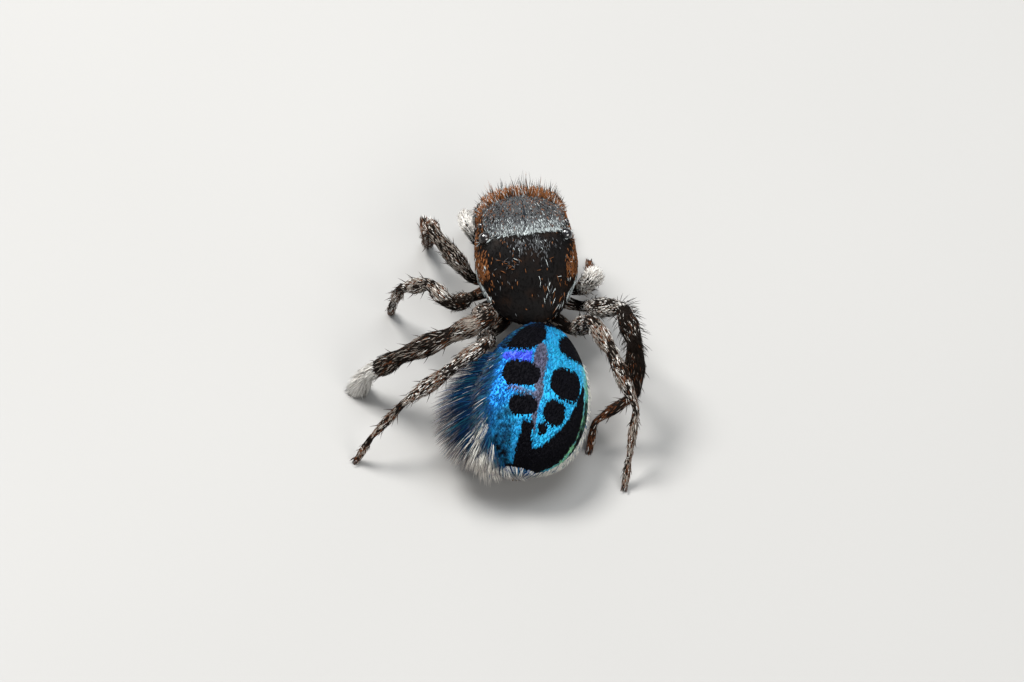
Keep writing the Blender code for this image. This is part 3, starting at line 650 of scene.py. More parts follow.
class Number:
    """A number socket of a shader. Expressions on it add Math nodes."""

    def __init__(self, maker, socket):
        self.maker = maker
        self.socket = socket

    def math(self, operation, *values):
        made = self.maker.node("ShaderNodeMath", {"operation": operation}, dict(enumerate(values)))
        return Number(self.maker, made.outputs[0])

    def __add__(self, other):
        return self.math("ADD", self, other)

    def __sub__(self, other):
        return self.math("SUBTRACT", self, other)

    def __rsub__(self, other):
        return self.math("SUBTRACT", other, self)

    def __mul__(self, other):
        return self.math("MULTIPLY", self, other)

    __radd__ = __add__
    __rmul__ = __mul__

    def ease(self, low, high):
        values = {"Value": self, "From Min": low, "From Max": high}
        made = self.maker.node("ShaderNodeMapRange", {"interpolation_type": "SMOOTHSTEP"}, values)
        return Number(self.maker, made.outputs[0])


class Maker:
    """One procedural material on a Principled shader."""

    def __init__(self, name, **constants):
        self.material = bpy.data.materials.new(name)
        self.material.use_nodes = True
        self.tree = self.material.node_tree
        self.tree.nodes.clear()
        self.shader = self.node("ShaderNodeBsdfPrincipled", {}, constants)
        output = self.tree.nodes.new("ShaderNodeOutputMaterial")
        self.tree.links.new(self.shader.outputs[0], output.inputs["Surface"])

    def node(self, kind, settings, values):
        """Any node: its settings first, then the values or links of its sockets."""
        made = self.tree.nodes.new(kind)
        for key, setting in settings.items():
            setattr(made, key, setting)
        for key, value in values.items():
            self.feed(made.inputs[key], value)
        return made

    def feed(self, socket, value):
        source = value.socket if isinstance(value, Number) else value
        if isinstance(source, bpy.types.NodeSocket):
            self.tree.links.new(source, socket)
        else:
            socket.default_value = source

    def own(self, name):
        """The three numbers of a surface's own attribute."""
        made = self.node("ShaderNodeAttribute", {"attribute_name": name}, {})
        split = self.node("ShaderNodeSeparateXYZ", {}, {0: made.outputs["Vector"]})
        return [Number(self, socket) for socket in split.outputs]

    def noise(self, scale, detail=2.0):
        """Noise on Object coordinates in millimetres."""
        coordinates = self.node("ShaderNodeTexCoord", {}, {}).outputs["Object"]
        mapped = self.node("ShaderNodeMapping", {}, {"Vector": coordinates, "Scale": [1 / MM] * 3})
        values = {"Vector": mapped.outputs[0], "Scale": scale, "Detail": detail}
        made = self.node("ShaderNodeTexNoise", {}, values)
        return Number(self, made.outputs[0])

    def mix(self, factor, first, second):
        made = self.node("ShaderNodeMix", {"data_type": "RGBA"}, {0: factor, 6: first, 7: second})
        return made.outputs[2]

    def bump(self, height, strength, distance):
        values = {"Strength": strength, "Distance": distance * MM, "Height": height}
        return self.node("ShaderNodeBump", {}, values).outputs[0]

    def set(self, **values):
        for key, value in values.items():
            self.feed(self.shader.inputs[key.replace("_", " ")], value)
        return self.material


def sizes():
    return bpy.context.scene.spider_sizes


def rgb(name):
    return (*getattr(bpy.context.scene.spider_colours, name), 1.0)


def scale_material(name):
    """Iridescent scales of the abdomen with matt black spots."""
    made = Maker(name, **{"Specular IOR Level": 0.05})
    spot, streak, side = made.own("mark")
    _, tone, kind = made.own("strand")
    wander = made.noise(9.0, 3.0) - 0.5
    spot = (spot + wander * 0.35).ease(0.38, 0.60)
    grey = (streak + wander * 0.6).ease(0.3, 0.8)
    violet = ((0 - streak) + wander * 0.4).ease(0.25, 0.75)
    patch = made.noise(2.6) - 0.5
    blue = made.mix((side + patch * 0.35).ease(0.30, 0.62), rgb("azure"), rgb("cyan"))
    layers = (
        ((side + patch * 0.2).ease(0.80, 1.0), "sea_green"),
        (tone.ease(0.62, 1.0) * 0.6, "sky"),
        (tone.ease(0.36, 0.0) * 0.6, "navy"),
        (made.noise(22.0, 1.0).ease(0.52, 0.78) * 0.5, "navy"),
        (violet, "violet"),
        (grey * 0.9, "streak"),
        (kind, "hair_cream"),
        (spot, "spot"),
    )
    for share, colour in layers:
        blue = made.mix(share, blue, rgb(colour))
    shine = (1 - spot) * (1 - kind)
    grain = made.bump(made.noise(60.0), 0.4, 0.01)
    rough = 0.62 - shine * 0.24 + tone * 0.1
    return made.set(Base_Color=blue, Metallic=shine * 0.45, Roughness=rough, Normal=grain)


def hair_material(name, dark, pale, warm, white, roughness, root="root", root_share=0.35):
    """Hair whose colour is dark, with the marks giving its share of pale, warm and white."""
    made = Maker(name, **{"Specular IOR Level": 0.07})
    light, brown, bright = made.own("mark")
    tip, tone, kind = made.own("strand")
    shade = made.mix(light, rgb(dark), rgb(pale))
    layers = (
        (brown, warm),
        (bright, white),
        ((1 - tip) * root_share * (1 - bright * 0.6), root),
        (tone * 0.3 * (1 - bright), "root"),
        (kind * tip.ease(0.66, 1.0), "tip"),
    )
    for share, colour in layers:
        shade = made.mix(share, shade, rgb(colour))
    fine = made.noise(30.0)
    return made.set(Base_Color=shade, Roughness=roughness + fine * 0.2, Normal=made.bump(fine, 0.3, 0.006))


def shell_material(name):
    """Black satin shell of the head and thorax, finely grained, with a painted highlight along the line
    between the rear eyes.
    """
    made = Maker(name, **{"Specular IOR Level": 0.07})
    top, band, _ = made.own("mark")
    grain = made.noise(45.0, 3.0)
    patch = made.noise(3.0)
    shade = made.mix(patch.ease(0.45, 0.75), rgb("shell"), rgb("shell_brown"))
    shade = made.mix(top * (0.25 + patch * 0.5), shade, rgb("slate"))
    # Painted highlight: the bright line between the rear eyes, in blotches.
    shade = made.mix(band * patch * 0.9, shade, rgb("hair_ice"))
    rough = 0.40 + grain * 0.22 - top * 0.08
    return made.set(Base_Color=shade, Roughness=rough, Normal=made.bump(grain, 0.55, 0.012))


def eye_material(name):
    """Glossy black lenses with a faint brown depth."""
    made = Maker(name, **{"Coat Weight": 1.0, "Coat Roughness": 0.03, "Specular IOR Level": 0.6})
    depth = made.noise(4.0, 1.0)
    shade = made.mix(depth.ease(0.4, 0.75), rgb("eye"), rgb("eye_brown"))
    return made.set(Base_Color=shade, Roughness=0.08 + depth * 0.05)


def claw_material(name):
    """Brown-black horn."""
    made = Maker(name, **{"Coat Weight": 0.4, "Coat Roughness": 0.2})
    band = made.noise(12.0)
    shade = made.mix(band.ease(0.4, 0.7), rgb("claw"), rgb("shell"))
    return made.set(Base_Color=shade, Roughness=0.3 + band * 0.2)


def floor_material(name):
    """A plain pale floor with faint clouds."""
    made = Maker(name)
    cloud = made.noise(0.08)
    shade = made.mix(cloud, rgb("floor"), rgb("floor_shade"))
    return made.set(Base_Color=shade, Roughness=0.6 + cloud * 0.1)


# What makes each finish, and for hair its dark, pale, warm and white colours, roughness and root.
FINISHES = {
    "iridescent_scales": (scale_material,),
    "satin_shell": (shell_material,),
    "eye_gloss": (eye_material,),
    "claw_horn": (claw_material,),
    "studio_floor": (floor_material,),
    "leg_coat_hair": (hair_material, "hair_dark", "hair_grey", "hair_brown", "hair_white", 0.45),
    "head_coat_hair": (hair_material, "hair_black", "hair_slate", "hair_orange", "hair_ice", 0.42),
    "flank_coat_hair": (
        hair_material, "hair_navy", "hair_blue", "hair_teal", "hair_cream", 0.38, "hair_blue", 0.5,
    ),
    "underside_plain": (hair_material, "skin_brown", "skin_brown", "hair_brown", "hair_grey", 0.55),
}


def finish(name):
    """A finish, made at its first use."""
    maker, *given = FINISHES[name]
    return bpy.data.materials.get(name) or maker(name, *given)


def piece(name, parts, finish_name, slot_name, *nodes):
    """One object from the arrays of its parts (points, faces, marks, strands and, for a coat, UV pairs),
    with its finish, its body and the nodes that it stands for. The slot name is not used."""
    points, faces, marks, strands, *uvs = zip(*parts)
    starts = np.cumsum([0, *map(len, points[:-1])])
    faces = np.concatenate([corners + start for corners, start in zip(faces, starts)])
    attributes = {"mark": np.concatenate(marks), "strand": np.concatenate(strands)}
    uv = np.concatenate(uvs[0]) if uvs else None
    obj = mesh_object(name, np.concatenate(points), faces, attributes, uv)
    obj.data.materials.append(finish(finish_name))
    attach(obj, "root")
    if nodes:
        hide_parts(*nodes)


def skin(name, shape, rows, columns, depth, finish_name, slot_name, *nodes, marking=no_marks):
    """A piece of one skin."""
    piece(name, [skin_arrays(shape, rows, columns, depth, marking)], finish_name, slot_name, *nodes)


def coat_depth():
    """In millimetres."""
    return sizes().coat_depth / MM


# Head and thorax

def clear_of_eyes(here, spare=0.012):
    """Whether places are outside every eye."""
    free = np.ones(len(here), bool)
    for x, y, z, radius in EYES.values():
        for _, sign in EVERY_SIDE:
            free &= np.linalg.norm(here - np.array((sign * x, y, z)), axis=-1) > radius + spare
    return free


def eye_line(here):
    """How far places are ahead of the bright line between the rear eyes, y = 1.31 + 0.09 x + 0.03 x^2."""
    return here[:, 1] - 1.31 - 0.09 * here[:, 0] - 0.03 * here[:, 0] ** 2


def carapace_marks(u, v, points):
    """Masks of the shell: the grey top between the eyes and the painted highlight of the bright line behind
    it.
    """
    ahead, upper = eye_line(points), ease(1.50, 1.58, points[:, 2])
    inside = ease(0.66, 0.58, np.abs(points[:, 0]))
    top = ease(0.0, 0.08, ahead) * upper * inside
    # Painted highlight: the bright line between the rear eyes, strongest right of the middle.
    line = bell(0.0, 0.03, ahead) * upper * inside * (0.15 + 0.7 * bell(0.25, 0.35, points[:, 0]))
    return np.stack([top, line, np.zeros(len(top))], axis=-1)


def head_batch(
    draw, count, where, share, width, lean, tones,
    sideways=0.2, bend=-0.1, swirl=0.3, forward=False,
):
    """Hairs on the carapace that lie back, or forward over the face, `lean` out of the skin. Their length is
    a share of the head's hair, and is least at the face's corners: 1.1 - 1.2 x^2."""
    sown = sow(carapace, count, draw, where, FACE_RANGE if forward else WHOLE)
    free = clear_of_eyes(sown[2])
    u, v, here, normal, along = (values[free] for values in sown)
    around = np.cross(normal, along)
    flow = (along if forward else -along) + around * draw.normal(0, swirl, len(u))[:, None]
    flow = flow - around * sideways * np.clip(here[:, :1] / 0.3, -1, 1)
    way = unit(unit(flow) + normal * lean * draw.uniform(0.6, 1.4, len(u))[:, None])
    marks = colour_marks(draw, u, here, tones)
    size = sizes().head_hair / MM * share * draw.uniform(0.65, 1.25, len(u))
    if forward:
        size = size * (1.10 - 1.2 * here[:, 0] ** 2)
    broad = width * draw.uniform(0.8, 1.2, len(u))
    root = here - normal * (coat_depth() + 0.002)
    lift = -normal if bend < 0 else normal
    full = HAIR_FULL if forward else FLAT_FULL
    return tufts(draw, root, way, lift, size, broad, abs(bend), marks, place_of(u, v), full=full)


# Where the head's hairs of each kind grow, from 0 to 1 at each place.

def crown(u, v, here):
    """The top between the eyes."""
    x, y, z = here.T
    inside = ease(0.70, 0.60, np.abs(x))
    return ease(0.0, 0.10, eye_line(here)) * ease(1.46, 1.54, z) * ease(2.20, 2.10, y + 0.40 * x**2) * inside


def crown_tones(u, here):
    """Slate in blotches, with orange specks to the front, and white specks near the line that spread its
    painted highlight.
    """
    x, y, _ = here.T
    orange = 0.02 + 0.08 * ease(1.6, 2.1, y + 0.2 * np.abs(x))
    # Painted highlight: white specks grow towards the line between the rear eyes.
    white = 0.02 + 0.20 * ease(0.45, 0.05, eye_line(here))
    return np.stack([0.56 + 0.28 * mottle(here, 0.5, 3), orange, white], axis=-1)


def sheen(u, v, here):
    """Pale glint just ahead of the line."""
    ahead = eye_line(here)
    band = np.clip(ease(-0.02, 0.03, ahead) * ease(0.30, 0.04, ahead), 0, 1)
    return band * bell(0.16, 0.42, here[:, 0]) * ease(1.5, 1.58, here[:, 2])


def painted_highlight_line(u, v, here):
    """Painted highlight: the bright broken line of white hairs between the rear eyes, strongest right of the
    middle.
    """
    broken = 0.3 + 0.7 * mottle(here, 0.25, 4)
    middle = 0.35 + 0.65 * bell(0.25, 0.4, here[:, 0])
    return bell(0.01, 0.03, eye_line(here)) * ease(1.5, 1.56, here[:, 2]) * middle * broken


def painted_sheen_patch(u, v, here):
    """Painted sheen: grey hairs behind the line, brightest in its middle."""
    x, y, z = here.T
    return bell(1.10, 0.12, y) * bell(0.08, 0.26, x) * ease(1.5, 1.6, z)


def slope(u, v, here):
    """Scattered pale hairs down the back of the head."""
    x, y, z = here.T
    patches = ease(0.35, 0.75, mottle(here, 0.30, 5)) * ease(0.12, 0.3, np.abs(x))
    return (0.06 + patches) * bell(0.80, 0.14, y) * ease(1.2, 1.4, z)


def streaks(u, v, here):
    """A few pale hairs at the back on the right."""
    x, y, z = here.T
    return bell(0.42, 0.25, y) * ease(0.05, 0.2, x) * ease(0.95, 1.05, z)


def arch(u, v, here):
    """The crest over the face."""
    x, y, z = here.T
    return ease(2.04, 2.14, y + 0.40 * x**2) * ease(1.42, 1.54, z)


def brow(u, v, here):
    """The face between the crest and the front eyes."""
    _, y, z = here.T
    return ease(2.10, 2.20, y) * ease(1.18, 1.3, z) * ease(1.56, 1.46, z)


def stripe(u, v, here):
    """Orange stripe below the side eyes."""
    x, y, z = here.T
    blotch = 0.25 + 0.75 * mottle(here, 0.3, 7)
    reach = ease(0.6, 0.8, y) * ease(2.2, 2.05, y) * ease(0.62, 0.70, np.abs(x))
    return bell(1.42 + 0.05 * np.sin(4 * y), 0.13, z) * reach * blotch


def low_stripe(u, v, here):
    """Second orange stripe low on the side."""
    return bell(1.05, 0.06, here[:, 2]) * ease(0.7, 1.1, here[:, 1])


def rim(u, v, here):
    """White rim over the hips."""
    _, y, z = here.T
    return bell(0.95, 0.07, z) * ease(0.35, 0.55, y) * ease(1.5, 1.1, y)


def margin(u, v, here):
    """Thin white margin that rises from the rim."""
    _, y, z = here.T
    return bell(1.02 + 0.22 * y, 0.032, z) * ease(0.38, 0.52, y) * ease(1.15, 0.95, y)


def cheeks(u, v, here):
    """The dark sides below the stripe."""
    return ease(1.50, 1.34, here[:, 2]) * ease(0.3, 0.7, here[:, 1])


def mask(u, v, here):
    """The face below the front eyes."""
    return ease(2.18, 2.27, here[:, 1]) * ease(1.30, 1.12, here[:, 2])


# Hairs of the head: count, where, share of the head's hair length, half width, lean, shares of pale, warm
# and white, and what is unlike the rest.
TOP_HAIRS = (
    (4600, everywhere, 0.8, 0.0060, 0.24, (0.03, 0.03, 0.0), {"bend": -0.04}),
    (6800, crown, 1.1, 0.0064, 0.24, crown_tones, {"sideways": 0.1, "bend": -0.05, "swirl": 0.2}),
    # The next three rows are pale and white hairs that paint the lamps' highlight and sheen at the line
    # between the rear eyes.
    (800, sheen, 1.3, 0.0065, 0.22, (0.30, 0.0, 0.55), {"sideways": 0.1, "bend": -0.05}),
    (1000, painted_highlight_line, 1.2, 0.0085, 0.24, (0.02, 0.0, 0.97), {"sideways": 1.6, "bend": -0.05, "swirl": 0.7}),
    (420, painted_sheen_patch, 1.0, 0.0060, 0.24, (0.62, 0.0, 0.06), {"sideways": 0.1, "bend": -0.05}),
    (64, slope, 1.3, 0.0040, 0.26, (0.20, 0.48, 0.16), {"sideways": -0.9, "swirl": 2.2}),
    (26, streaks, 2.0, 0.0038, 0.20, (0.30, 0.1, 0.60), {"swirl": 0.25}),
)
SIDE_HAIRS = (
    (3400, arch, 1.75, 0.0058, 1.0, (0.08, 0.66, 0.14), {"bend": 0.12, "swirl": 0.8, "forward": True}),
    (800, brow, 1.6, 0.0060, 1.5, (0.06, 0.58, 0.16), {"bend": 0.3, "swirl": 0.4, "forward": True}),
    (240, arch, 3.8, 0.0045, 1.0, (0.0, 0.06, 0.0), {"bend": 0.10, "swirl": 0.4, "forward": True}),
    (1700, stripe, 1.3, 0.0070, 0.24, (0.03, 0.80, 0.03), {}),
    (700, low_stripe, 1.2, 0.0080, 0.16, (0.05, 0.7, 0.1), {}),
    (1300, rim, 1.5, 0.0080, 0.2, (0.1, 0.05, 0.8), {}),
    (560, margin, 1.2, 0.0058, 0.24, (0.10, 0.06, 0.8), {"swirl": 0.15}),
    (1500, cheeks, 1.1, 0.0070, 0.24, (0.08, 0.14, 0.04), {}),
    (1500, mask, 1.6, 0.0080, 0.7, (0.1, 0.35, 0.45), {"bend": -0.3, "forward": True}),
)


def make_head():
    """The carapace's skin, its short coat, the crest over the face and the hair between the eyes."""
    finishing = ("satin_shell", "carapace_shell", "carapace")
    skin("carapace_skin", carapace, 110, 112, coat_depth(), *finishing, marking=carapace_marks)
    draw = np.random.default_rng(11)
    for name, rows in (("head_coat_top", TOP_HAIRS), ("head_coat_sides", SIDE_HAIRS)):
        batches = [head_batch(draw, *row, **unlike) for *row, unlike in rows]
        piece(name, batches, "head_coat_hair", "carapace_shell")


def make_eyes():
    """Eight glossy lenses, each with a fringe of short hairs round it."""
    draw = np.random.default_rng(12)
    inset = 0.2 * sizes().coat_depth / MM
    lashes = []
    for eye, (x, y, z, radius) in EYES.items():
        for side, sign in EVERY_SIDE:
            centre = np.array((sign * x, y, z))
            ball = ball_surface(centre, radius - inset)
            skin(f"lens_{eye}_{side}", ball, 40, 52, 0.0, "eye_gloss", "eye", f"eye_{eye}_{side}")
            lashes.append(lash_batch(centre, radius, draw))
    piece("eye_lashes", lashes, "head_coat_hair", "carapace_shell")


def lash_batch(centre, radius, draw):
    """Up to 150 short hairs rooted where the eye's ball leaves the shell, pointing out along both."""
    sown = sow(carapace, 9000, draw, everywhere)
    away = np.linalg.norm(sown[2] - centre, axis=-1)
    near = np.flatnonzero((away > radius + 0.002) & (away < radius + 0.04))[:150]
    u, v, here, normal, _ = (values[near] for values in sown)
    outwards = unit(here - centre)
    way = unit(normal * 0.8 + outwards * 0.5 + draw.normal(0, 0.15, here.shape))
    orange = 0.5 if radius > 0.12 else 0.1
    marks = colour_marks(draw, u, here, (0.1, orange, 0.15))
    length = min(radius * 0.55, 0.085) * draw.uniform(0.7, 1.2, len(u))
    return tufts(draw, here - normal * 0.02, way, outwards, length, 0.008, 0.2, marks, place_of(u, v))


# Jaws and palps

def limb_hair(
    draw, shape, count, length, width, lean, tones,
    u_range=WHOLE, where=everywhere, bend=0.15, full=HAIR_FULL, swirl=0.22,
):
    """Hairs on a limb that point to its end, `lean` out of the skin, and keep clear of the floor."""
    u, v, here, normal, along = sow(shape, count, draw, where, u_range)
    flow = along + np.cross(normal, along) * draw.normal(0, swirl, len(u))[:, None]
    way = unit(unit(flow) + normal * lean * draw.uniform(0.5, 1.5, len(u))[:, None])
    marks = colour_marks(draw, u, here, tones)
    size = length * draw.uniform(0.65, 1.25, len(u))
    broad = width * draw.uniform(0.8, 1.2, len(u))
    free = here[:, 2] > 0.012
    values = (here - normal * 0.02, way, -normal, size, broad, marks, place_of(u, v))
    root, way, lift, size, broad, marks, place = (value[free] for value in values)
    return tufts(draw, root, way, lift, size, broad, bend, marks, place, full=full)


def make_mouth():
    """The jaws with their fangs, and the hairy palps beside them, palest beyond their bend."""
    draw = np.random.default_rng(13)
    jaw_hairs, palp_hairs = [], []
    for side, sign in EVERY_SIDE:
        mirror = np.array((sign, 1, 1))
        jaw, _, _ = limb(np.array(CHELICERA_PATH) * mirror, even_keys(CHELICERA_RADII), 0.2)
        finishing = ("satin_shell", "carapace_shell", f"chelicera_{side}")
        skin(f"jaw_{side}", jaw, 24, 32, coat_depth(), *finishing)
        jaw_hairs.append(limb_hair(draw, jaw, 500, 0.10, 0.007, 0.35, (0.2, 0.3, 0.2)))
        fang, _, _ = limb(np.array(FANG_PATH) * mirror, even_keys(FANG_RADII), 0.08)
        skin(f"fang_horn_{side}", fang, 20, 20, 0.0, "claw_horn", "carapace_shell", f"fang_{side}")
        palp, keys, _ = limb(np.array(PALP_PATH[side]) * mirror, even_keys(PALP_RADII), 0.12)
        solids = (f"palp_femur_{side}", f"palp_tip_{side}")
        skin(f"palp_skin_{side}", palp, 60, 24, 0.01, "satin_shell", "palp_hair", *solids)
        palp_hairs.append(limb_hair(draw, palp, 900, 0.09, 0.008, 0.30, (0.35, 0.08, 0.12)))

        def outer(u, v, here):
            return ease(keys[1], keys[2], u)

        palp_hairs.append(limb_hair(draw, palp, 2000, 0.13, 0.009, 0.36, (0.12, 0.02, 0.84), where=outer))
    piece("jaw_hair", jaw_hairs, "leg_coat_hair", "carapace_shell")
    piece("palp_coat", palp_hairs, "leg_coat_hair", "palp_hair")


# Abdomen

def abdomen_marks(u, v, points=None):
    """Masks of the abdomen's skin: black spots, grey streak (below 0 is violet), and left to right."""
    across, along = abdomen_map(u, v)
    reach = strip_reach(across, along, BLACK_EDGE) ** 2
    for x, y, half_x, half_y in SPOTS:
        corner = (np.abs(across - x) / half_x) ** 2.7 + (np.abs(along - y) / half_y) ** 2.7
        reach = np.minimum(reach, corner)
    spot = ease(1.35, 0.75, reach)
    spot = np.maximum(spot, ease(1.26, 1.32, np.abs(along)))
    spot = np.maximum(spot, 0.62 * ease(-0.80, -1.15, across))
    spot = np.maximum(spot, ease(1.22, 1.34, across))
    streak = ease(1.5, 0.6, strip_reach(across, along, GREY_STREAK))
    streak = np.maximum(streak, 0.7 * ease(1.5, 0.6, strip_reach(across, along, LAVENDER_LINE)))
    streak = streak - ease(1.4, 0.6, strip_reach(across, along, VIOLET_BAND)) * (1 - streak)
    rear_left = ease(-0.25, -0.55, along) * ease(0.0, -0.28, across)
    spot = np.maximum(spot, (0.50 + 0.05 * ease(-0.8, -1.2, along)) * rear_left)
    spot = np.maximum(spot, 0.58 * ease(0.98, 1.08, across) * ease(0.40, 0.0, along))
    side = 0.5 + 0.42 * across + 0.10 * ease(0.0, -0.7, along) * ease(0.0, 0.6, across) + 0.16 * rear_left
    return np.stack([spot, streak, np.clip(side, 0, 1)], axis=-1)


def scaled_back(u, v, here):
    """Where the scales lie: the back, down to the fringe and the rim."""
    across, _ = abdomen_map(u, v)
    return ease(-1.25, -1.10, across) * ease(1.34, 1.22, across)


def scale_batch(draw):
    """Flat scales that point backwards over the abdomen and lean a little out of its skin."""
    u, v, here, normal, along = sow(abdomen, SCALE_COUNT, draw, scaled_back)
    across, _ = abdomen_map(u, v)
    drift = draw.normal(0, 0.20, len(u)) + 0.5 * ease(-0.2, -0.9, across)
    flow = -along + np.cross(normal, along) * drift[:, None]
    way = unit(unit(flow) + normal * 0.10 * draw.uniform(0.3, 1.5, len(u))[:, None])
    root = here - normal * (coat_depth() + 0.004)
    size = sizes().scale_length / MM
    length = size * draw.uniform(0.7, 1.25, len(u))
    return tufts(
        draw, root, way, -normal, length, size * SCALE_WIDTH, 0.10, abdomen_marks(u, v), place_of(u, v),
        thickness=0.004, stops=(0.35, 0.75), full=(1.0, 0.85),
    )


def fringe_batch(draw, count, u_range, v_range, lengths, width, lie, tones, pale_tips):
    """Hairs on the abdomen: way = around * lie[0] - along * lie[1] + normal * lie[2]. Their length goes
    from the first to the second of `lengths` over v_range, and long ones are longest in the middle of
    u_range and hang a little. `pale_tips` is how pale the ends are."""
    u, v, here, normal, along = sow(abdomen, count, draw, everywhere, u_range, v_range)
    row = (u - u_range[0]) / (u_range[1] - u_range[0])
    column = (v - v_range[0]) / (v_range[1] - v_range[0])
    hangs = max(lengths) > 0.3
    size = lengths[0] + (lengths[1] - lengths[0]) * column
    if hangs:
        size = size * (0.27 + 0.73 * ease(0.05, 0.6, row)) * (1 - 0.45 * ease(0.7, 1.0, row))
    size = size * draw.uniform(0.66, 1.0, len(u))
    clump = mottle(here, 0.22, 9)[:, None] - 0.5
    way = np.cross(normal, along) * (lie[0] + 0.35 * clump) - along * lie[1] + normal * lie[2]
    way = way + draw.normal(0, 0.09, here.shape)
    way[:, 2] -= 0.12 * hangs
    marks = colour_marks(draw, u, here, tones)
    kinds = pale_tips * (draw.random(len(u)) < 0.8) * draw.uniform(0.4, 1.0, len(u))
    stops, full = (LONG_STOPS, LONG_FULL) if hangs else (HAIR_STOPS, HAIR_FULL)
    return tufts(
        draw, here - normal * 0.035, way, -along, size, width, 0.12, marks, place_of(u, v),
        kinds=kinds, stops=stops, full=full,
    )


def clumped(pale, warm, white):
    """Tones that turn white in clumps towards the rear end: a share c of the hairs is in a clump, and the
    tones are pale * (1 - c), warm * (1 - c) and 0.02 + white * c."""

    def tones(u, here):
        clump = ease(0.34, 0.54, mottle(here, 0.15, 9)) * ease(0.38, 0.26, u)
        return np.stack([pale * (1 - clump), warm * (1 - clump), 0.02 + white * clump], axis=-1)

    return tones


# Hairs of the abdomen: count, ranges of u and v, lengths, half width, lie, tones and pale tips.
FRINGE = (
    (1300, (0.10, 0.62), (0.362, 0.40), (0.18, 0.30), 0.0060, (0.66, 0.66, 0.10), (0.60, 0.34, 0.0), 0.0),
    (2900, (0.06, 0.64), (0.385, 0.45), (0.32, 0.60), 0.0065, (0.60, 0.62, 0.32), (0.22, 0.26, 0.01), 0.4),
    (2900, (0.04, 0.64), (0.44, 0.575), (0.86, 0.72), 0.0062, (0.05, 0.5, 0.8), clumped(0.1, 0.18, 0.8), 0.8),
)
FLANK = (
    (1500, (0.02, 0.38), (0.38, 0.55), (0.36, 0.60), 0.0075, (0.3, 0.6, 0.4), clumped(0.4, 0.4, 0.9), 0.6),
    (2500, (0.05, 0.70), (-0.010, 0.034), (0.17, 0.12), 0.0062, (-0.30, 0.85, 0.40), (0.14, 0.06, 0.76), 0.0),
    (1100, (0.0, 0.09), (0.0, 0.5), (0.18, 0.24), 0.0070, (0.0, 0.9, 0.35), (0.2, 0.1, 0.45), 0.4),
    (3600, (0.03, 0.97), (0.53, 0.99), (0.12, 0.15), 0.0090, (0.0, 1.0, 0.16), (0.10, 0.06, 0.16), 0.1),
    (900, (0.84, 0.99), (0.0, 0.5), (0.08, 0.10), 0.0070, (0.0, 1.0, 0.2), (0.06, 0.05, 0.0), 0.0),
    (1500, (0.60, 0.95), (0.38, 0.52), (0.12, 0.16), 0.0070, (0.3, 1.0, 0.2), (0.3, 0.15, 0.01), 0.0),
)


def make_abdomen():
    """The abdomen's skin, its flat iridescent scales, dark flanks, long left fringe and short pale rim."""
    finishing = ("iridescent_scales", "abdomen_scales")
    skin("abdomen_skin", abdomen, 150, 170, coat_depth(), *finishing, "abdomen", marking=abdomen_marks)
    draw = np.random.default_rng(21)
    for layer in ("lower", "upper"):
        piece(f"abdomen_scales_{layer}", [scale_batch(draw)], *finishing)
    for name, rows in (("abdomen_fringe", FRINGE), ("abdomen_flank_coat", FLANK)):
        batches = [fringe_batch(draw, *row) for row in rows]
        piece(name, batches, "flank_coat_hair", "abdomen_scales")


def solid_box(node):
    """Low and high corner of a solid in the drawing frame, in millimetres."""
    return [np.array(corner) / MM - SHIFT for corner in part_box(node)]


def make_underside():
    """The breast plate, the stalk and the spinnerets, with their short hair."""
    draw = np.random.default_rng(31)
    plate = ball_surface(STERNUM_CENTRE, STERNUM_HALF)
    skin("breast_plate", plate, 40, 48, 0.012, "underside_plain", "underside_skin", "sternum")
    low, high = solid_box("pedicel")
    middle = (low + high) / 2
    front = (middle[0] - 0.02, high[1] - 0.10, 0.635)
    rear = (middle[0], low[1] + 0.10, high[2] - 0.10)
    stalk, _, _ = limb(np.array((front, middle, rear)), even_keys((0.10, 0.10)), 0.2)
    skin("stalk_skin", stalk, 24, 24, 0.0, "satin_shell", "carapace_shell", "pedicel")
    low, high = solid_box("spinnerets")
    centre = (low + high) / 2
    cones = []
    for x, y, z in SPINNERET_STARTS:
        start = centre + np.array((x, 0.075 + y, z))
        path = (start, start + (x * 0.2, -0.08, -0.01), start + (x * 0.3, -0.15, -0.03))
        cone, _, _ = limb(path, even_keys(SPINNERET_RADII), 0.2)
        cones.append(skin_arrays(cone, 14, 16, 0.0))
    piece("spinneret_cones", cones, "underside_plain", "underside_skin", "spinnerets")
    hairs = [
        limb_hair(draw, plate, 1500, 0.09, 0.008, 0.3, (0.4, 0.2, 0.1)),
        limb_hair(draw, stalk, 250, 0.06, 0.007, 0.3, (0.1, 0.2, 0.0)),
    ]
    piece("underside_coat", hairs, "leg_coat_hair", "underside_skin")


# Legs

def leg_tones(tones, keys, seed):
    """Colours of a leg's hairs: each segment's own shares in blotches, darker at both of its ends."""

    def shares(u, here):
        index = np.clip(np.searchsorted(keys, u, side="right") - 1, 0, 5)
        within = (u - keys[index]) / (keys[index + 1] - keys[index])
        ends = 1 - 0.6 * (bell(0.0, 0.12, within) + bell(1.0, 0.12, within))
        blotch = mottle(here, 0.16, seed)
        grown = np.array(tones)[index]
        solid = ease(0.7, 0.9, grown.max(axis=1))
        shown = solid + (1 - solid) * np.clip(ends, 0.1, 1) * (0.25 + 1.5 * blotch)
        return np.clip(grown * shown[:, None], 0, 1)

    return shares


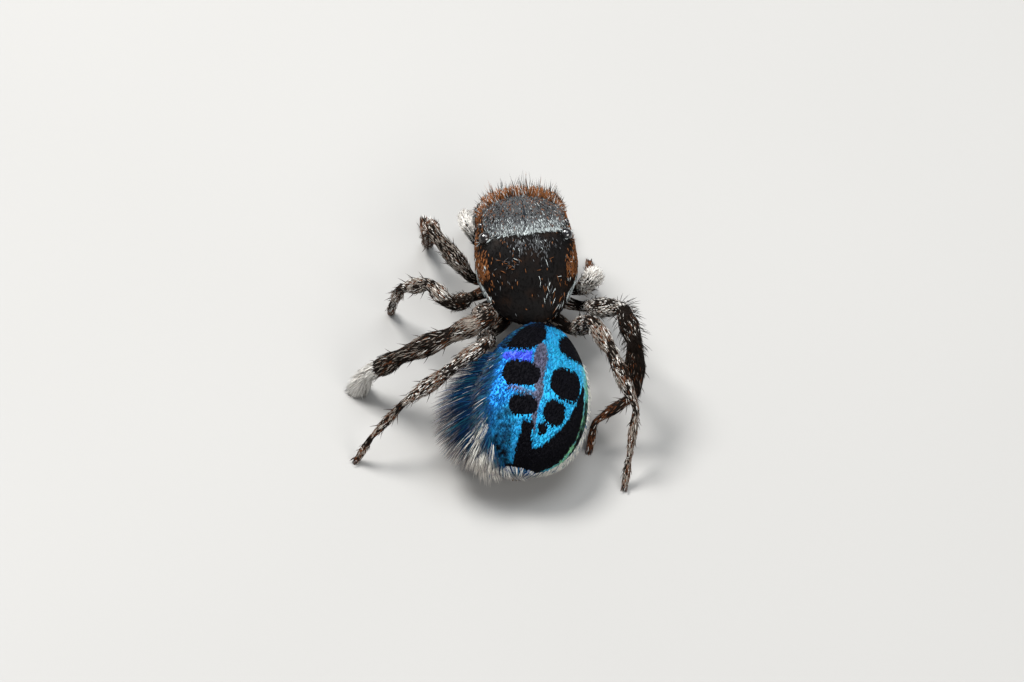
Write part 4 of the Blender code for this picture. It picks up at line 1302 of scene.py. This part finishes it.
def make_leg(side, pair):
    """One leg: a single skin from hip to foot, its short coat, its bristles and what is its own."""
    seed = 10 * pair + (side == "right")
    draw = np.random.default_rng(100 + seed)
    radii = SLIM_RADII.get((side, pair), LEG_RADII[pair])
    shape, keys, total = limb(LEG_JOINTS[side, pair], leg_keys(radii))
    name, finishing = f"leg{pair}_{side}", ("leg_coat_hair", "leg_hair")
    solids = (f"{name}_{part}" for part in ("coxa", "femur", "tibia", "foot"))
    skin(f"{name}_skin", shape, int(total / 0.026), 26, coat_depth(), *finishing, *solids)
    tones = leg_tones(LEG_TONES[side, pair], keys, seed)
    hair = sizes().leg_hair / MM
    flat = {"swirl": 0.10, "full": (1.0, 0.85)}
    batches = [
        limb_hair(draw, shape, 5100, hair, 0.0080, 0.11, tones, (0.01, 0.995), **flat),
        limb_hair(draw, shape, 260, hair * 1.3, 0.0036, 0.45, (0.16, 0.1, 0.12), (keys[1], 0.97)),
        bristles(draw, shape, keys),
    ]
    if pair == 3:
        high = keys[4] if side == "right" else keys[5] - 0.01
        thick = (keys[2] + 0.3 * (keys[3] - keys[2]), high)
        batches.append(limb_hair(draw, shape, 2600, hair * 1.6, 0.0078, 0.22, tones, thick, bend=0.2))
    for count, share, width, lean, shares, span in leg_extras(side, pair, keys):
        batches.append(limb_hair(draw, shape, count, hair * share, width, lean, shares, span))
    piece(f"{name}_coat", batches, *finishing)


def leg_extras(side, pair, keys):
    """White brush of the left third foot, dark knee hairs of the right third leg and white knee of the right
    second leg: count, share of the hair length, half width, lean, tones and range."""
    return {
        ("left", 3): [(1500, 2.5, 0.0075, 0.36, (0.04, 0.0, 0.95), (keys[5] - 0.06, 0.99))],
        ("right", 3): [(150, 2.3, 0.0055, 1.3, (0.0, 0.05, 0.0), (keys[2] - 0.03, keys[3] + 0.02))],
        ("right", 2): [(900, 1.35, 0.0070, 0.40, (0.20, 0.0, 0.74), (keys[2] - 0.07, keys[3] - 0.01))],
    }.get((side, pair), [])


def bristles(draw, shape, keys):
    """Stout bristles in rings at set shares of the femur, tibia and metatarsus."""
    u, v = [], []
    for segment, share in BRISTLE_ROWS:
        for turn in BRISTLE_TURNS:
            u.append(keys[segment] + share * (keys[segment + 1] - keys[segment]))
            v.append(turn + draw.uniform(-0.04, 0.04))
    u, v = np.array(u), np.array(v)
    here, normal, along, _ = frames(shape, u, v)
    free = here[:, 2] > 0.16
    u, v, here, normal, along = (values[free] for values in (u, v, here, normal, along))
    way = normal * 0.75 + along * 0.7
    marks = np.tile((0.0, 0.15, 0.0), (len(u), 1))
    length = sizes().bristle / MM * draw.uniform(0.7, 1.1, len(u))
    return tufts(
        draw, here - normal * 0.03, way, along, length, 0.008, 0.15, marks, place_of(u, v),
        thickness=0.008, stops=(0.1, 0.55), full=(1.0, 0.65), sides=4,
    )


def make_claws():
    """Two curved claws at each toe."""
    draw = np.random.default_rng(41)
    roots, ways = [], []
    for points in LEG_JOINTS.values():
        toe, before = np.array(points[-1]), np.array(points[-2])
        ahead = unit((toe - before) * (1, 1, 0))
        side = np.array((-ahead[1], ahead[0], 0.0))
        base = np.array((toe[0], toe[1], 0.085)) - ahead * 0.02
        for _, sign in EVERY_SIDE:
            roots.append(base + side * 0.03 * sign)
            ways.append(unit(ahead * 0.9 + side * 0.15 * sign + (0, 0, 0.12)))
    count = len(roots)
    down = np.tile((0.0, 0.0, -1.0), (count, 1))
    made = tufts(
        draw, np.array(roots), np.array(ways), down, 0.115, 0.016, 0.55, np.zeros((count, 3)),
        np.full((count, 2), 0.5), thickness=0.020, stops=(0.2, 0.5, 0.8), full=(1.0, 0.8, 0.45), sides=6,
    )
    piece("toe_claws", [made], "claw_horn", "carapace_shell")


# Stage

def make_camera():
    """A far camera with a long lens, its right and up turned by azimuth, elevation and roll."""
    azimuth, elevation, roll = np.radians((CAMERA_AZIMUTH, CAMERA_ELEVATION, CAMERA_ROLL))
    level = np.array((np.cos(azimuth), -np.sin(azimuth), 0.0))
    heading = np.array((np.sin(azimuth), np.cos(azimuth), 0.0))
    rising = np.sin(elevation) * heading + np.cos(elevation) * np.array((0.0, 0.0, 1.0))
    right = np.cos(roll) * level - np.sin(roll) * rising
    up = np.sin(roll) * level + np.cos(roll) * rising
    back_way = np.cross(right, up)
    sideways, downwards = (size / 2 - pixel for size, pixel in zip(IMAGE_SIZE, CAMERA_AIM_PIXEL))
    target = CAMERA_AIM + (sideways * right - downwards * up) / CAMERA_SCALE
    data = bpy.data.cameras.new("camera")
    data.sensor_width = SENSOR_WIDTH
    data.lens = SENSOR_WIDTH * CAMERA_DISTANCE * CAMERA_SCALE / IMAGE_SIZE[0]
    data.clip_start = 0.001
    data.clip_end = 10.0
    camera = bpy.data.objects.new("camera", data)
    turn = Matrix(np.stack([right, up, back_way], axis=1)).to_4x4()
    camera.matrix_world = Matrix.Translation((target + back_way * CAMERA_DISTANCE + SHIFT) * MM) @ turn
    bpy.context.scene.collection.objects.link(camera)
    bpy.context.scene.camera = camera


def softbox(name, place, size, power, colour):
    """A square lamp that faces the spider's middle. Sizes are in millimetres and power is in watts."""
    data = bpy.data.lights.new(name, "AREA")
    data.shape = "RECTANGLE"
    data.size, data.size_y = size[0] * MM, size[1] * MM
    data.energy = power
    data.color = colour
    lamp = bpy.data.objects.new(name, data)
    place = np.array(place, float)
    back = unit(place - CAMERA_AIM)
    side = unit(np.cross((0.0, 0.0, 1.0), back))
    turn = Matrix(np.stack([side, np.cross(back, side), back], axis=1)).to_4x4()
    lamp.matrix_world = Matrix.Translation((place + SHIFT) * MM) @ turn
    bpy.context.scene.collection.objects.link(lamp)


def make_stage():
    """A pale floor, soft lamps, a soft pale surround and the camera at the photograph's angle."""
    corners = np.array(((-1, -1, 0), (1, -1, 0), (1, 1, 0), (-1, 1, 0))) * FLOOR_REACH * MM
    mesh = bpy.data.meshes.new("studio_floor")
    mesh.from_pydata(corners.tolist(), [], [(0, 1, 2, 3)])
    floor = bpy.data.objects.new("studio_floor", mesh)
    bpy.context.scene.collection.objects.link(floor)
    floor.data.materials.append(finish("studio_floor"))
    world = bpy.data.worlds.new("surround")
    world.use_nodes = True
    sky = world.node_tree.nodes["Background"]
    sky.inputs["Color"].default_value = SURROUND_COLOUR
    sky.inputs["Strength"].default_value = SURROUND_STRENGTH
    bpy.context.scene.world = world
    bpy.context.scene.view_settings.view_transform = "Standard"
    for lamp in LAMPS:
        softbox(*lamp)
    make_camera()


# Add-on

def colour_property(label, text, value):
    return bpy.props.FloatVectorProperty(
        name=label, description=text, default=value, size=3, subtype="COLOR", min=0.0, max=1.0,
    )


class SpiderColours(bpy.types.PropertyGroup):
    """Colours of the spider's skin, scales and hair."""

    azure: colour_property("Azure", "Scales on the left of the back", (0.01, 0.155, 0.5))
    cyan: colour_property("Cyan", "Scales on the right of the back", (0.02, 0.335, 0.6))
    sea_green: colour_property("Sea green", "Scales along the right edge", (0.2, 0.5, 0.26))
    violet: colour_property("Violet", "Scales at the front of the middle line", (0.05, 0.085, 0.72))
    sky: colour_property("Sky blue", "Single brighter scales", (0.06, 0.38, 0.8))
    navy: colour_property("Navy", "Single darker scales", (0.004, 0.03, 0.16))
    streak: colour_property("Streak", "Scales beside the middle line", (0.085, 0.062, 0.08))
    spot: colour_property("Spot", "Matt black spots", (0.0015, 0.0015, 0.003))
    shell: colour_property("Shell", "Black shell", (0.0035, 0.003, 0.003))
    shell_brown: colour_property("Brown shell", "Brown patches of the shell", (0.01, 0.005, 0.003))
    slate: colour_property("Slate", "Grey shell between the eyes", (0.022, 0.03, 0.04))
    skin_brown: colour_property("Underside", "Skin of the underside", (0.10, 0.065, 0.04))
    hair_black: colour_property("Black hair", "Fine hair of the head", (0.004, 0.0035, 0.0035))
    # Slate hair also paints the sheen ahead of and behind the line between the rear eyes.
    hair_slate: colour_property("Slate hair", "Flat hair between the eyes", (0.17, 0.18, 0.19))
    hair_orange: colour_property("Orange hair", "Hair over the face and beside the eyes", (0.38, 0.145, 0.05))
    # Ice hair also paints the highlight along the line between the rear eyes and the glint ahead of it.
    hair_ice: colour_property("Ice hair", "White hair of the head", (0.72, 0.8, 0.81))
    hair_dark: colour_property("Dark leg hair", "Brown-black hair of the legs", (0.01, 0.0065, 0.0045))
    hair_grey: colour_property("Grey leg hair", "Silver-grey hair of the legs", (0.42, 0.37, 0.32))
    hair_brown: colour_property("Brown leg hair", "Red-brown hair of the legs", (0.17, 0.06, 0.024))
    hair_white: colour_property("White hair", "White hair of legs, palps and fringe", (0.9, 0.88, 0.84))
    hair_navy: colour_property("Navy hair", "Dark hair of the abdomen's sides", (0.0035, 0.006, 0.016))
    hair_teal: colour_property("Teal hair", "Glinting hair of the abdomen's sides", (0.018, 0.15, 0.19))
    hair_blue: colour_property("Blue hair", "Blue hair of the abdomen's left side", (0.01, 0.085, 0.26))
    hair_cream: colour_property("Cream hair", "Pale tufts of the abdomen's fringe and rim", (0.9, 0.88, 0.8))
    root: colour_property("Hair root", "Darkening towards a hair's root", (0.005, 0.0035, 0.003))
    tip: colour_property("Hair tip", "Pale ends of the fringe", (0.7, 0.6, 0.56))
    claw: colour_property("Claw", "Horn of claws and fangs", (0.045, 0.016, 0.008))
    eye: colour_property("Eye", "Black of the eyes", (0.003, 0.003, 0.004))
    eye_brown: colour_property("Eye depth", "Brown depth of the eyes", (0.020, 0.010, 0.006))
    floor: colour_property("Floor", "Pale studio floor", (0.34, 0.338, 0.333))
    floor_shade: colour_property("Floor shade", "Faint clouds on the floor", (0.32, 0.318, 0.313))


def length_property(label, text, value):
    return bpy.props.FloatProperty(
        name=label, description=text, default=value, min=0.0, precision=6, unit="LENGTH",
    )


class SpiderSizes(bpy.types.PropertyGroup):
    """Sizes of the coat."""

    coat_depth: length_property("Coat depth", "How far the skin lies inside the solids", 0.018 * MM)
    head_hair: length_property("Head hair", "Length of the short hair of the head", 0.075 * MM)
    leg_hair: length_property("Leg hair", "Length of the legs' hair", 0.105 * MM)
    scale_length: length_property("Scale length", "Length of one scale of the abdomen", 0.075 * MM)
    bristle: length_property("Bristle", "Length of a leg's stout bristles", 0.17 * MM)


class SpiderPiece:
    """What the operators share: they are undone as one step and end as finished."""

    bl_options = {"REGISTER", "UNDO"}


class SPIDER_OT_head(SpiderPiece, bpy.types.Operator):
    """Make the carapace's skin and the head's hair"""

    bl_idname = "scene.spider_head"
    bl_label = "Head"

    def execute(self, context):
        make_head()
        return {"FINISHED"}


class SPIDER_OT_eyes(SpiderPiece, bpy.types.Operator):
    """Make the eight eyes and the hairs round them"""

    bl_idname = "scene.spider_eyes"
    bl_label = "Eyes"

    def execute(self, context):
        make_eyes()
        return {"FINISHED"}


class SPIDER_OT_mouth(SpiderPiece, bpy.types.Operator):
    """Make the jaws, fangs and palps"""

    bl_idname = "scene.spider_mouth"
    bl_label = "Mouthparts"

    def execute(self, context):
        make_mouth()
        return {"FINISHED"}


class SPIDER_OT_abdomen(SpiderPiece, bpy.types.Operator):
    """Make the abdomen's skin, scales and fringe"""

    bl_idname = "scene.spider_abdomen"
    bl_label = "Abdomen"

    def execute(self, context):
        make_abdomen()
        return {"FINISHED"}


class SPIDER_OT_underside(SpiderPiece, bpy.types.Operator):
    """Make the breast plate, stalk and spinnerets"""

    bl_idname = "scene.spider_underside"
    bl_label = "Underside"

    def execute(self, context):
        make_underside()
        return {"FINISHED"}


class SPIDER_OT_legs(SpiderPiece, bpy.types.Operator):
    """Make the eight legs with their coats and claws"""

    bl_idname = "scene.spider_legs"
    bl_label = "Legs"

    def execute(self, context):
        for side, pair in LEG_JOINTS:
            make_leg(side, pair)
        make_claws()
        return {"FINISHED"}


class SPIDER_OT_stage(SpiderPiece, bpy.types.Operator):
    """Make the floor, lamps and camera"""

    bl_idname = "scene.spider_stage"
    bl_label = "Stage"

    def execute(self, context):
        make_stage()
        return {"FINISHED"}


OPERATORS = (
    SPIDER_OT_stage,
    SPIDER_OT_head,
    SPIDER_OT_eyes,
    SPIDER_OT_mouth,
    SPIDER_OT_abdomen,
    SPIDER_OT_underside,
    SPIDER_OT_legs,
)


class SPIDER_PT_panel(bpy.types.Panel):
    """Lists the pieces, sizes and colours"""

    bl_idname = "SPIDER_PT_panel"
    bl_label = "Peacock Spider"
    bl_space_type = "VIEW_3D"
    bl_region_type = "UI"
    bl_category = "Spider"

    def draw(self, context):
        layout = self.layout
        for group in (context.scene.spider_sizes, context.scene.spider_colours):
            for key in group.bl_rna.properties.keys():
                if key not in ("rna_type", "name"):
                    layout.prop(group, key)
        for operator in OPERATORS:
            layout.operator(operator.bl_idname)


CLASSES = (SpiderColours, SpiderSizes, *OPERATORS, SPIDER_PT_panel)


def register():
    for made in CLASSES:
        bpy.utils.register_class(made)
    bpy.types.Scene.spider_colours = bpy.props.PointerProperty(type=SpiderColours)
    bpy.types.Scene.spider_sizes = bpy.props.PointerProperty(type=SpiderSizes)


def unregister():
    del bpy.types.Scene.spider_sizes
    del bpy.types.Scene.spider_colours
    for made in reversed(CLASSES):
        bpy.utils.unregister_class(made)


def main():
    register()
    for operator in OPERATORS:
        getattr(bpy.ops.scene, operator.bl_idname.split(".")[1])()


if __name__ == "__main__":
    main()
